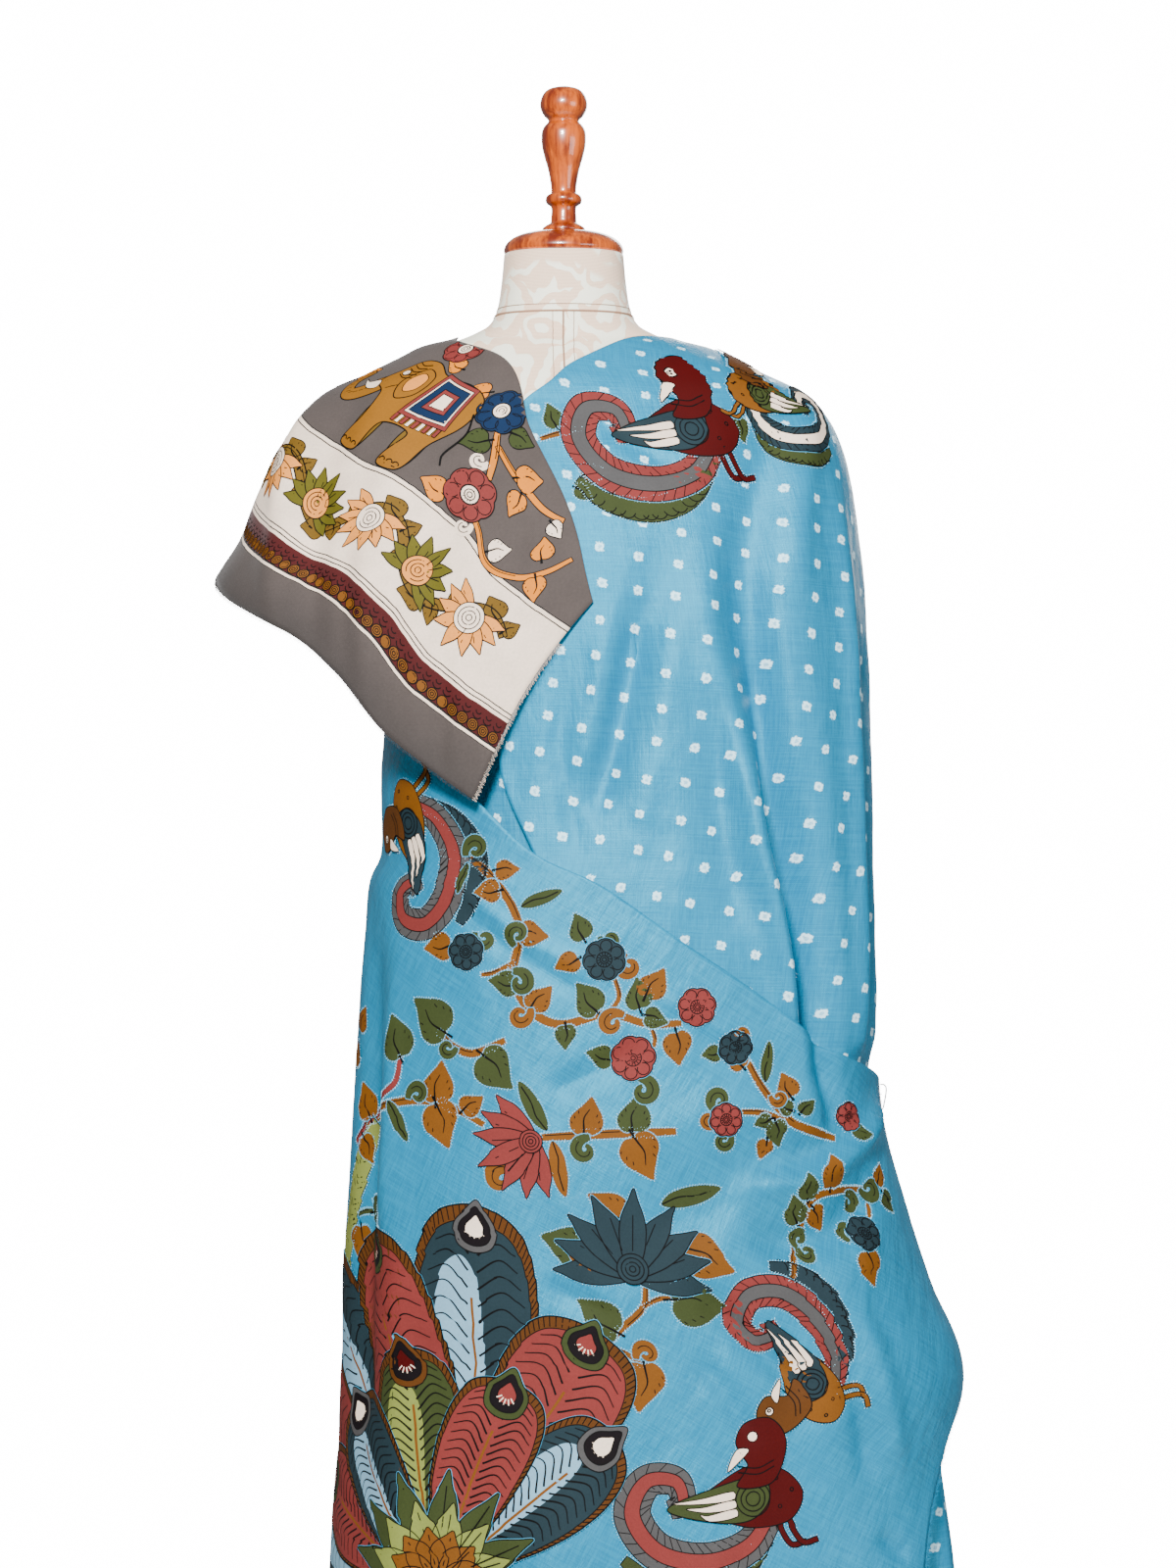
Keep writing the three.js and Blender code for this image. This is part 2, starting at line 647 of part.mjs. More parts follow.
// The blouse piece over the left shoulder. Its lines across run with its printed bands.
function addBlousePiece() {
  const capeFolds = foldsOn(cape, CAPE_FOLDS);
  const place = stretch(cape, {
    top: [
      { deg: 96, z: 1250 },
      { deg: 108, z: 1330 },
      { deg: 135, z: 1390 },
      { deg: 170, z: 1397 },
      { deg: 198, z: 1397 },
      { x: -58, z: 1378 },
      { x: -28, z: 1312 },
      { x: 6, z: 1239 },
      { x: 25, z: 1164 },
    ],
    bottom: [
      { deg: 112, z: 1170 },
      { deg: 138, z: 1206 },
      { deg: 168, z: 1208 },
      { deg: 190, z: 1188 },
      { x: -235, z: 1142 },
      { x: -192, z: 1108 },
      { x: -152, z: 1060 },
      { x: -116, z: 1030 },
      { x: -74, z: 1000 },
    ],
    lift: (u, t, p) => 1.2 + 2.3 * ease((p.x + 110) / 60) * ease((1392 - p.z) / 30),
    folds: capeFolds,
  });
  add("blouse_piece", wall(place, 30, 13), 0x7d7876, 0.8);
}

// A small safety pin, hanging by the wrap's top corner and turned to the front.
function addPin() {
  const PIN_PLACE = { u: 0.955, t: 0.035 };
  const STANDS_OFF = 3.9;
  const TURN = Math.PI / 9;
  const { p, out } = wrapPlace()(PIN_PLACE.u, PIN_PLACE.t);
  const centre = p.clone().addScaledVector(out, STANDS_OFF);
  const side = new THREE.Vector3(Math.cos(TURN), Math.sin(TURN), 0);
  const face = new THREE.Vector3(Math.sin(TURN), -Math.cos(TURN), 0);
  const spot = (x, z, y = 0) =>
    centre.clone().addScaledVector(side, x).addScaledVector(face, y).add(new THREE.Vector3(0, 0, z));
  const { length, width, coil } = PIN;
  const route = [
    spot(-width / 2, length / 2),
    spot(-width / 4, -length / 4),
    spot(-coil / 2, -length / 2 + coil),
    spot(0, -length / 2, 0.2),
    spot(coil / 2, -length / 2 + coil),
    spot(width / 4, -length / 4),
    spot(width / 2, length / 2 - 1),
    spot(width / 4, length / 2 + 1.6),
    spot(-width / 4, length / 2 + 1.9, 1.6),
  ];
  const wire = new THREE.Shape();
  wire.absarc(0, 0, PIN.wire, 0, Math.PI * 2);
  const path = new THREE.CatmullRomCurve3(route, false, "centripetal");
  const geometry = new THREE.ExtrudeGeometry(wire, { steps: 26, curveSegments: 3, extrudePath: path });
  add("safety_pin", geometry, 0xc9ccd0, 0.25, 1);
}

addForm();
addStand();
addSkirt();
addUnderarm();
addShoulder();
addBack();
addWrap();
addBlousePiece();
addPin();

export default group;
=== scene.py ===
# %% [markdown]
# A silk saree on a dress form. The imported model is loaded first, as a frame that nothing here moves:
# every piece below is built around it, in metres, with the origin on the floor under the form.

import bmesh
import bpy
import numpy as np
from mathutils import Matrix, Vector, geometry
from mathutils.bvhtree import BVHTree


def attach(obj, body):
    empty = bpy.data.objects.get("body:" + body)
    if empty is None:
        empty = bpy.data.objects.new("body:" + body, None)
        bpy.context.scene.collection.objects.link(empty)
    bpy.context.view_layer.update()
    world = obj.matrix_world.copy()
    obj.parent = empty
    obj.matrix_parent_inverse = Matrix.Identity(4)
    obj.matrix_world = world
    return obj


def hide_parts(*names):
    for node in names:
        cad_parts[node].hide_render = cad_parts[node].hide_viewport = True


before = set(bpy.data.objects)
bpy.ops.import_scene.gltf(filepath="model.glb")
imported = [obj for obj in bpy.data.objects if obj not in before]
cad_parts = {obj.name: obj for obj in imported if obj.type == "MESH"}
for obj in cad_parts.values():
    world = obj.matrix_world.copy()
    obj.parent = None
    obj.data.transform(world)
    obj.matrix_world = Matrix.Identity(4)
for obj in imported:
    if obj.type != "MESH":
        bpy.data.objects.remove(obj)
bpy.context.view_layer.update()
MM = 0.001

# %% [markdown]
# The photograph is taken level, with a long lens, a little below the middle of the torso. Everything
# is 0.85 mm a pixel at the form's axis, so the lens follows from the distance and the picture's height.
# The light is a small key at the front's upper left, a weak fill on the right, one behind and a white
# world, as for a catalogue picture. The floor is a small pale disc below the picture.

# %% Camera, light and floor
PHOTO_HEIGHT = 1600
PIXEL = 0.85 * MM
CAMERA = Vector((0.021, -3.4, 1.013))
LONG_SIDE = 36.0


def add_camera():
    data = bpy.data.cameras.new("camera")
    data.sensor_width = LONG_SIDE
    data.lens = LONG_SIDE * -CAMERA.y / (PHOTO_HEIGHT * PIXEL)
    camera = bpy.data.objects.new("camera", data)
    camera.location = CAMERA
    camera.rotation_euler = (np.pi / 2, 0, 0)
    bpy.context.scene.collection.objects.link(camera)
    bpy.context.scene.camera = camera
    print("lens", data.lens)


def add_light(name, place, size, watts, aim):
    data = bpy.data.lights.new(name, "AREA")
    data.size = size
    data.energy = watts
    light = bpy.data.objects.new(name, data)
    light.location = place
    light.rotation_euler = (Vector(aim) - Vector(place)).to_track_quat("-Z", "Y").to_euler()
    bpy.context.scene.collection.objects.link(light)


def add_world(lights, shows):
    """A white studio: what the background gives as light, and how bright it looks."""
    world = bpy.data.worlds.new("studio")
    world.use_nodes = True
    nodes, links = world.node_tree.nodes, world.node_tree.links
    back = nodes["Background"]
    back.inputs["Color"].default_value = (1, 1, 1, 1)
    strength = nodes.new("ShaderNodeMapRange")
    strength.inputs["To Min"].default_value = lights
    strength.inputs["To Max"].default_value = shows
    links.new(nodes.new("ShaderNodeLightPath").outputs["Is Camera Ray"], strength.inputs["Value"])
    links.new(strength.outputs[0], back.inputs["Strength"])
    bpy.context.scene.world = world


add_camera()
add_world(lights=0.25, shows=16.0)
add_light("key", (-0.4, -3.1, 2.5), 0.5, 290, aim=(0.1, 0, 1.0))
add_light("fill", (2.3, -2.2, 1.2), 1.5, 40, aim=(0.1, 0, 0.9))
add_light("back", (0.6, 3.2, 2.2), 2.0, 80, aim=(0, 0, 1.0))

# %% [markdown]
# The drape is one body of cloth lofted through sections, each a squarish oval given by how far it
# reaches to the left, right, front and back at a height. These are the sizes of the model's own
# pieces, in millimetres, so each shell lies exactly where its solid is.

# %% Sections of the body and the cloth: z, left, right, front, back
FORM = [
    (1471, 51.8, 51.8, 50.8, 50.8), (1447, 54, 54, 52.5, 53), (1425, 57.5, 57.5, 55, 56),
    (1411, 64, 64, 57, 58), (1403, 76, 76, 59, 61), (1394.7, 97, 97, 61.5, 63.5),
    (1387.5, 125, 125, 67, 69.5), (1377, 146, 147, 75, 77), (1365, 169, 171, 82.5, 84),
    (1349, 185, 187, 91.5, 91), (1333, 193, 195, 97.5, 96), (1305, 190, 192, 107, 99),
    (1260, 180, 180, 121, 103), (1210, 166, 166, 131, 105), (1160, 152, 152, 127, 102),
    (1100, 135, 135, 111, 95), (1040, 121, 121, 97, 88), (1000, 118, 118, 92, 86),
    (950, 128, 128, 97, 92), (880, 150, 150, 107, 106), (800, 165, 166, 112, 118),
    (740, 166, 168, 110, 118), (700, 158, 160, 103, 111),
]
SILK = [
    (1405, 76, 78, 59.5, 61.5), (1396.7, 99, 100, 63.5, 66.3), (1389.5, 127, 127, 69, 72.8),
    (1379, 149, 151, 77, 80), (1367, 172, 176, 84.5, 86), (1351, 188, 208, 93.5, 93),
    (1334, 196, 226, 100.5, 99), (1305, 197, 241, 113, 106), (1260, 188, 251, 130, 112),
    (1205, 176, 257, 144, 116), (1140, 164, 261, 149, 118), (1069, 156, 264, 151, 120),
    (1010, 158, 266, 153, 123), (955, 158, 267, 156, 127), (925, 169, 268, 159, 130),
    (870, 174, 269, 163, 136), (800, 179, 270, 168, 142), (750, 181, 269, 171, 147),
    (700, 185, 277, 174, 152), (640, 188, 294, 178, 159), (575, 190, 316, 182, 165),
    (513, 191, 341, 186, 171), (435, 195, 334, 191, 178), (333, 203, 348, 198, 188),
    (180, 216, 368, 210, 202), (30, 228, 387, 222, 216),
]
SKIRT = [
    (1012, 120.8, 120.8, 95.4, 89.6), (985, 124, 126, 99, 93), (940, 138, 148, 109, 104),
    (880, 157, 183, 121, 118), (800, 172, 218, 134, 129), (740, 174, 236, 142, 135),
    (650, 177, 268, 153, 145), (513, 180, 316, 167, 155), (435, 183, 327, 174, 162),
    (333, 190, 341, 183, 171), (180, 203, 357, 195, 185), (18, 215, 374, 207, 199),
]
CAPE = [
    (1404, 76, 78, 59.5, 61.5), (1395.8, 99, 100, 63.5, 65.5), (1388.7, 127, 127, 69, 71.5),
    (1378.3, 148, 151, 77, 79), (1366, 172, 176, 84.5, 86), (1350, 200, 208, 94, 94),
    (1330, 222, 228, 103, 101.5), (1302, 245, 242, 116, 110), (1266, 263, 251, 130, 116),
    (1224, 279, 256, 142, 121), (1186, 303, 259, 148, 125), (1140, 322, 262, 151, 129),
    (1080, 334, 265, 154, 134), (990, 344, 268, 157, 140),
]
SQUARE = 0.1  # how much squarer than an ellipse a section is


# %% Curves and bodies
def ease(t):
    s = np.clip(t, 0, 1)
    return s * s * (3 - 2 * s)


def through(knots, rows):
    """A smooth curve through rows of numbers, whose knots lie at the given places."""
    knots, rows = np.asarray(knots, float), np.asarray(rows, float)
    before = np.maximum(np.arange(len(rows)) - 1, 0)
    after = np.minimum(np.arange(len(rows)) + 1, len(rows) - 1)
    slopes = (rows[after] - rows[before]) / (knots[after] - knots[before])[:, None]

    def curve(at):
        at = np.asarray(at, float)
        i = np.clip(np.searchsorted(knots, at) - 1, 0, len(rows) - 2)
        step = knots[i + 1] - knots[i]
        t = np.clip((at - knots[i]) / step, 0, 1)[..., None]
        bend = slopes[i] * (t**3 - 2 * t**2 + t) + slopes[i + 1] * (t**3 - t**2)
        straight = rows[i] * (2 * t**3 - 3 * t**2 + 1) + rows[i + 1] * (3 * t**2 - 2 * t**3)
        return straight + step[..., None] * bend

    return curve


class Body:
    """A loft. An angle runs from +X over the back (90) and the left (180); a row is a place in the table."""

    def __init__(self, sections):
        self.last = len(sections) - 1
        self.curve = through(range(len(sections)), sections)
        self.rows = np.linspace(0, self.last, 4000)
        self.heights = self.curve(self.rows)[:, 0]

    def point(self, deg, row):
        z, left, right, front, back = np.moveaxis(self.curve(row), -1, 0)
        c, s = np.cos(np.radians(deg)), np.sin(np.radians(deg))
        x = (right - left) / 2 + (right + left) / 2 * c * (1 + SQUARE * s * s)
        y = np.where(s < 0, front, back) * s * (1 + SQUARE * c * c)
        return np.stack(np.broadcast_arrays(x, y, z), axis=-1)

    def normal(self, deg, row):
        low, high = np.minimum(self.last, row + 0.02), np.maximum(0, row - 0.02)
        down = self.point(deg, low) - self.point(deg, high)
        out = np.cross(down, self.point(deg + 0.2, row) - self.point(deg - 0.2, row))
        return out / np.linalg.norm(out, axis=-1, keepdims=True)

    def row_at(self, z):
        return np.interp(-np.asarray(z, float), -self.heights, self.rows)

    def place(self, mark):
        """A mark is ("x", x, z) on the front, or ("deg", angle, z)."""
        kind, value, z = mark
        row = self.row_at(z)
        if kind == "deg":
            return value, float(row)
        angles = np.linspace(180, 360, 1441)
        return float(np.interp(value, self.point(angles, row)[:, 0], angles)), float(row)

    def line(self, places):
        places = np.array([self.place(mark) for mark in places])
        spots = self.point(places[:, 0], places[:, 1])
        knots = np.concatenate([[0], np.cumsum(np.linalg.norm(np.diff(spots, axis=0), axis=1))])
        return through(knots / knots[-1], places)


def marks(*items):
    """Marks for a body's line: a kind, "x" or "deg", and the values and heights that follow it."""
    made, items = [], iter(items)
    for item in items:
        if isinstance(item, str):
            kind, item = item, next(items)
        made.append((kind, item, next(items)))
    return made


def folds_on(body, folds):
    """Ridges (high > 0) and troughs: how high, how wide, and the marks that each follows."""
    stretches = 10
    lines = []
    for high, wide, *items in folds:
        places = body.line(marks(*items))(np.linspace(0, 1, stretches + 1))
        lines.append((high, wide, body.point(places[:, 0], places[:, 1])))

    def height(p):
        total = np.zeros(p.shape[:-1])
        for high, wide, spots in lines:
            nearest, share = np.full(p.shape[:-1], np.inf), np.zeros(p.shape[:-1])
            for i in range(stretches):
                along = spots[i + 1] - spots[i]
                t = np.clip((p - spots[i]) @ along / (along @ along), 0, 1)
                away = np.linalg.norm(spots[i] + t[..., None] * along - p, axis=-1)
                closer = away < nearest
                nearest = np.where(closer, away, nearest)
                share = np.where(closer, (i + t) / stretches, share)
            ends = ease(share / 0.35) * (0.6 + 0.4 * ease((1 - share) / 0.1))
            total = total + high * ends * np.exp(-((nearest / wide) ** 2))
        return total

    return height


form, silk, skirt, cape = Body(FORM), Body(SILK), Body(SKIRT), Body(CAPE)

# %% [markdown]
# Cloth hangs in folds, and most of what reads as silk is in their light. The big ones are in the solid
# already, so they are repeated here with the same sizes: a deep pleat where the cloth falls from the
# shoulder to the hip, soft ridges beside it, diagonal folds across the back, and flutes at the hem.

# %% Folds: high, wide, and the marks they follow, each a value and a height
SHOULDER_FOLDS = [
    (-13, 13, "x", 165, 1200, 178, 1008, 201, 884, 222, 740),
    (-4, 16, "x", 168, 1340, 165, 1200, 168, 1080),
    (7, 17, "x", 150, 1150, 160, 1000, 190, 860, 205, 730),
    (-5, 24, "x", 135, 1300, 70, 1130, 20, 990),
    (4, 22, "x", 110, 1280, 100, 1080, 95, 920),
    (-4, 20, "deg", -18, 1230, -17, 1000, -15, 800),
    (5, 18, "deg", -4, 1260, -5, 1000, -6, 800),
    (-6, 20, "deg", 16, 1300, 18, 1050, 22, 820),
    (6, 22, "deg", 34, 1330, 40, 1080, 52, 760),
    (-7, 22, "deg", 42, 1340, 58, 1080, 82, 700),
    (6, 22, "deg", 50, 1350, 76, 1090, 110, 700),
    (-6, 20, "deg", 56, 1340, 88, 1120, 132, 740),
    (6, 20, "deg", 62, 1335, 100, 1130, 148, 860),
]
WRAP_FOLDS = [
    (-6, 26, "x", 250, 715, 165, 690, 85, 650),
    (4, 22, "x", 252, 735, 150, 745, 60, 720),
    (5, 30, "x", 262, 690, 235, 600, 215, 470),
    (-4, 18, "x", 90, 610, 150, 550, 195, 500),
    (-5, 22, "deg", 202, 940, 206, 700, 208, 420),
    (5, 24, "deg", 214, 900, 220, 640, 224, 300),
    (-6, 26, "x", -60, 520, -75, 300, -90, 30),
    (6, 24, "x", 0, 480, -10, 260, -20, 30),
    (-7, 24, "x", 60, 460, 55, 250, 50, 30),
    (7, 24, "x", 125, 430, 120, 230, 115, 30),
    (-6, 22, "x", 190, 380, 182, 220, 176, 30),
]
CAPE_FOLDS = [
    (7, 17, "x", -170, 1372, -236, 1280, -242, 1150),
    (-7, 18, "x", -150, 1365, -205, 1240, -205, 1110),
    (6, 17, "x", -120, 1350, -160, 1200, -160, 1060),
    (-5, 16, "x", -90, 1320, -115, 1180, -112, 1020),
    (6, 20, "deg", 168, 1340, 166, 1240, 164, 1140),
    (-6, 20, "deg", 150, 1350, 146, 1240, 142, 1140),
    (5, 20, "deg", 132, 1350, 126, 1240, 120, 1140),
]


# %% Stretches of cloth
def stretch(body, top, bottom, lift, sides=None, folds=None):
    """A stretch between four edges: across runs along top and bottom, down along the sides."""
    over, under = body.line(top), body.line(bottom)

    def place(u, t):
        u, t = np.broadcast_arrays(np.asarray(u, float), np.asarray(t, float))
        tt, uu = t[..., None], u[..., None]
        if sides:
            first, second = (body.line(m)(t) for m in sides)
            corners = [over(0.0), over(1.0), under(0.0), under(1.0)]
            spot = (1 - tt) * over(u) + tt * under(u) + (1 - uu) * first + uu * second
            spot = spot - (1 - uu) * (1 - tt) * corners[0] - uu * (1 - tt) * corners[1]
            spot = spot - (1 - uu) * tt * corners[2] - uu * tt * corners[3]
        else:
            spot = (1 - tt) * over(u) + tt * under(u)
        deg, row = spot[..., 0], spot[..., 1]
        p, out = body.point(deg, row), body.normal(deg, row)
        rise = lift(u, t, p)
        if folds:
            rise = rise + folds(p)
        return p + out * rise[..., None], out, deg, row

    return place


def upright(deg, high, low):
    return marks("deg", deg, high, deg, (high + low) / 2, deg, low)


SHOULDER_SEAM, WRAP_SEAM, SEAM_TURN = 385, 165, 0.16
silk_folds = folds_on(silk, SHOULDER_FOLDS + WRAP_FOLDS)
cape_folds = folds_on(cape, CAPE_FOLDS)


def tuck(u, t, p):
    """The cloth under the wrap sinks a little towards the pin."""
    return -6 * ease((830 - p[..., 2]) / 80) * ease((p[..., 0] - 120) / 60)


def overlap(u, t, p):
    return 7 * ease((u - 0.12) / 0.3) + 0.4 * tuck(u, t, p)


def underarm_lift(u, t, p):
    x, y, z = np.moveaxis(p, -1, 0)
    high = (0.2 + 4.3 * ease((-40 - x) / 30)) * ease((z - 1110) / 50)
    return -6 + high - 7 * ease((1180 - z) / 80) * ease((-20 - y) / 60)


def cape_lift(u, t, p):
    return 1.2 + 2.3 * ease((p[..., 0] + 110) / 60) * ease((1392 - p[..., 2]) / 30)


chest = stretch(
    silk,
    top=marks("x", -40, 1328, -13, 1352, 30, 1382, 62, 1395, "deg", 340, 1397, 362, 1398,
              SHOULDER_SEAM, 1397),
    bottom=marks("x", 2, 905, 80, 852, 160, 795, 222, 745, "deg", 352, 712, SHOULDER_SEAM, 690),
    sides=[marks("x", -40, 1328, -47, 1180, -53, 1035, -25, 957, 2, 905),
           upright(SHOULDER_SEAM, 1397, 690)],
    lift=tuck,
    folds=silk_folds,
)
first, last = SHOULDER_SEAM - 360 + SEAM_TURN, WRAP_SEAM - SEAM_TURN
back = stretch(
    silk,
    top=marks("deg", first, 1397, 45, 1394, 64, 1372, 84, 1300, 104, 1222, 130, 1150, last, 1092),
    bottom=marks("deg", first, 690, 50, 600, 80, 430, 105, 250, 130, 110, last, 45),
    sides=[upright(first, 1397, 690), upright(last, 1092, 45)],
    lift=tuck,
    folds=silk_folds,
)
wrap = stretch(
    silk,
    top=marks("deg", WRAP_SEAM, 1092, 184, 1068, "x", -116, 1040, -72, 1001, -26, 958, 86, 891, 176, 826,
              220, 792, "deg", 352, 760),
    bottom=marks("deg", WRAP_SEAM, 45, 200, 34, "x", -60, 32, 100, 32, "deg", 310, 34),
    sides=[upright(WRAP_SEAM, 1092, 45),
           marks("deg", 352, 760, 359, 715, 364, 640, 366, 570, 362, 513, 343.5, 469, 336, 435, 329, 401,
                 323, 350, 315, 200, 310, 34)],
    lift=overlap,
    folds=silk_folds,
)
underarm = stretch(
    silk,
    top=marks("deg", 125, 1130, 160, 1150, 198, 1215, "x", -60, 1225, 45, 1215),
    bottom=marks("deg", 125, 950, 160, 975, 198, 975, "x", -60, 900, 85, 830),
    lift=underarm_lift,
)
blouse = stretch(
    cape,
    top=marks("deg", 96, 1250, 108, 1330, 135, 1390, 170, 1397, 198, 1397, "x", -58, 1378, -28, 1312,
              6, 1239, 25, 1164),
    bottom=marks("deg", 112, 1170, 138, 1206, 168, 1208, 190, 1188, "x", -235, 1142, -192, 1108,
                 -152, 1060, -116, 1030, -74, 1000),
    lift=cape_lift,
    folds=cape_folds,
)
FLUTES = 17


def underskirt(u, t):
    """The wound lower layer, as a ring with flutes that deepen to the right and the hem."""
    u, t = np.broadcast_arrays(np.asarray(u, float), np.asarray(t, float))
    deg, row = 360 * u, skirt.last * t
    p, out = skirt.point(deg, row), skirt.normal(deg, row)
    hang = ease((960 - p[..., 2]) / 620)
    side = 0.5 + 0.5 * np.cos(np.radians(deg + 25))
    swing = np.sin(np.radians(deg * FLUTES + 24 * np.sin(np.radians(deg * 3))))
    rise = -(3.5 + 7.5 * side) * hang * (1 - swing) - 0.5 * hang
    return p + out * rise[..., None], out, deg, row


# %% [markdown]
# A shell is a fine grid on its stretch with a second face one cloth's thickness behind it, and closed
# rims, so light sees real cloth. Each point also carries a place in cloth coordinates, the length along
# the section and the height, which the weave and the dots follow.

# %% Shells
CLOTH = 1.0  # thickness in millimetres


def placed_object(name, data):
    made = bpy.data.objects.new(name, data)
    bpy.context.scene.collection.objects.link(made)
    return made


def mesh_object(name, verts, faces, uvs=None):
    """A piece that rides the part: points in millimetres, and the place of each in cloth coordinates."""
    mesh = bpy.data.meshes.new(name)
    mesh.from_pydata((np.asarray(verts, float) * MM).tolist(), [], [list(map(int, f)) for f in faces])
    if uvs is not None:
        layer = mesh.uv_layers.new(name="cloth")
        corners = np.empty(len(mesh.loops), dtype=np.int32)
        mesh.loops.foreach_get("vertex_index", corners)
        layer.data.foreach_set("uv", (np.asarray(uvs, float)[corners] * MM).ravel())
    mesh.polygons.foreach_set("use_smooth", [True] * len(mesh.polygons))
    mesh.update()
    piece = placed_object(name, mesh)
    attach(piece, "root")
    return piece


def grid_faces(rows, columns, ring=False):
    i, j = np.meshgrid(np.arange(columns if ring else columns - 1), np.arange(rows - 1))
    high, low, after = j * columns, (j + 1) * columns, (i + 1) % columns
    return np.stack([high + i, low + i, low + after, high + after], -1).reshape(-1, 4)


def normals_of(p, ring=False):
    along = np.roll(p, -1, 1) - np.roll(p, 1, 1)
    if not ring:
        along[:, 0], along[:, -1] = p[:, 1] - p[:, 0], p[:, -1] - p[:, -2]
    fall = np.gradient(p, axis=0)
    out = np.cross(fall, along)
    return out / np.maximum(np.linalg.norm(out, axis=-1, keepdims=True), 1e-9)


FIRST_ANGLE, LAST_ANGLE, FRONT_ANGLE = -60, 480, 270


def read_off(table, body, deg, row, angle_step):
    """A table's values between its rows, which span the body, and its columns, angle_step degrees apart."""
    rows, columns = table.shape
    at_row = np.clip(np.asarray(row) / body.last * (rows - 1), 0, rows - 1.001)
    at_deg = np.clip((np.asarray(deg) - FIRST_ANGLE) / angle_step, 0, columns - 1.001)
    i, j = at_row.astype(int), at_deg.astype(int)
    a, b = at_row - i, at_deg - j
    high = table[i, j] * (1 - b) + table[i, j + 1] * b
    low = table[i + 1, j] * (1 - b) + table[i + 1, j + 1] * b
    return high * (1 - a) + low * a


def lengths(body, row_count, angle_step, axis):
    """Lengths summed up along one axis of a grid on the body: 0 down it, 1 round it."""
    angles = np.arange(FIRST_ANGLE, LAST_ANGLE + 1, angle_step)
    spots = body.point(angles[None, :], np.linspace(0, body.last, row_count)[:, None])
    steps = np.linalg.norm(np.diff(spots, axis=axis), axis=-1)
    start = np.zeros((1, len(angles)) if axis == 0 else (row_count, 1))
    return np.concatenate([start, np.cumsum(steps, axis=axis)], axis=axis)


def arc_of(body, deg, row):
    """Length along the section from the front's middle to an angle, in millimetres."""
    arcs = lengths(body, 60, 1, axis=1)
    front = FRONT_ANGLE - FIRST_ANGLE
    return read_off(arcs - arcs[:, front : front + 1], body, deg, row, 1)


def fall_of(body, deg, row):
    """Length from the loft's foot up to a row, at an angle: the height, but for shoulders."""
    falls = lengths(body, 240, 5, axis=0)
    return read_off(falls[-1:] - falls, body, deg, row, 5)


def shell(name, place, body, across, down, ring, relief):
    """The closed shell of a stretch. Returns the piece and its outer face's grid."""
    u = np.arange(across if ring else across + 1) / across
    t = np.arange(down + 1) / down
    p, out, deg, row = place(u[None, :], t[:, None])
    p = p + out * relief(body.point(deg, row), u[None, :], t[:, None])[..., None]
    inner = p - normals_of(p, ring) * CLOTH
    rows, columns = p.shape[:2]
    count = rows * columns
    outside = grid_faces(rows, columns, ring)
    inside = outside[:, ::-1] + count
    i = np.arange(columns if ring else columns - 1)
    j = (i + 1) % columns
    foot = (rows - 1) * columns
    rims = [np.stack([j, j + count, i + count, i], -1),
            np.stack([foot + i, foot + i + count, foot + j + count, foot + j], -1)]
    if not ring:
        k = np.arange(rows - 1) * columns
        rims.append(np.stack([k, k + count, k + columns + count, k + columns], -1))
        k = k + columns - 1
        rims.append(np.stack([k + columns, k + columns + count, k + count, k], -1))
    uvs = np.stack([arc_of(body, deg, row), fall_of(body, deg, row)], -1).reshape(-1, 2)
    verts = np.concatenate([p.reshape(-1, 3), inner.reshape(-1, 3)])
    faces = np.concatenate([outside, inside, *rims])
    piece = mesh_object(name, verts, faces, np.concatenate([uvs, uvs]))
    print(name, len(faces) * 2, "triangles")
    return piece, p


def ripple(p, size, seed):
    """A soft unevenness of cloth, about one at most, at waves of the given size."""
    rng = np.random.default_rng(seed)
    total = np.zeros(p.shape[:-1])
    for _ in range(9):
        way = rng.normal(size=3) * (1.0, 1.0, 0.55)
        way /= np.linalg.norm(way) * size * rng.uniform(0.6, 1.7)
        total = total + np.sin(p @ way * 2 * np.pi + rng.uniform(0, 6.28))
    return total / 4.5


def edge_fade(u, t):
    """Zero on the side edges of a stretch, so that edges that meet still meet."""
    return ease(np.minimum(u, 1 - u) / 0.04) * ease(np.minimum(t, 1 - t) / 0.04)


CHEST_CREASES = [
    (-21, 25, "x", 180, 1345, 162, 1260, 152, 1170, 166, 1100, 186, 1000, 203, 895, 214, 800),
    (11, 17, "x", 136, 1250, 124, 1165, 138, 1080, 160, 985, 180, 890, 194, 810),
    (5, 15, "x", 200, 1350, 203, 1268, 198, 1183),
    (-14, 19, "x", 190, 1060, 200, 960, 212, 880, 220, 800, 226, 745),
    (9, 13, "x", 226, 1300, 242, 1150, 250, 980, 254, 800),
    (-9, 12, "x", 66, 1182, 57, 1120, 44, 1060, 30, 1000),
    (5, 13, "x", 44, 1170, 34, 1100, 22, 1030),
    (4, 15, "x", 98, 1190, 82, 1081, 64, 970),
    (-3.5, 11, "x", 127, 1120, 130, 996, 142, 902),
    (5, 11, "x", 150, 1060, 165, 945, 192, 834),
    (-3, 9, "x", 2, 1120, -2, 1040, 12, 960),
    (-2.5, 8, "x", 20, 1330, 70, 1290, 130, 1270),
    (-4, 16, "deg", 352, 1250, 354, 1050, 356, 820),
    (-4, 14, "deg", 372, 1300, 374, 1080, 376, 860),
]
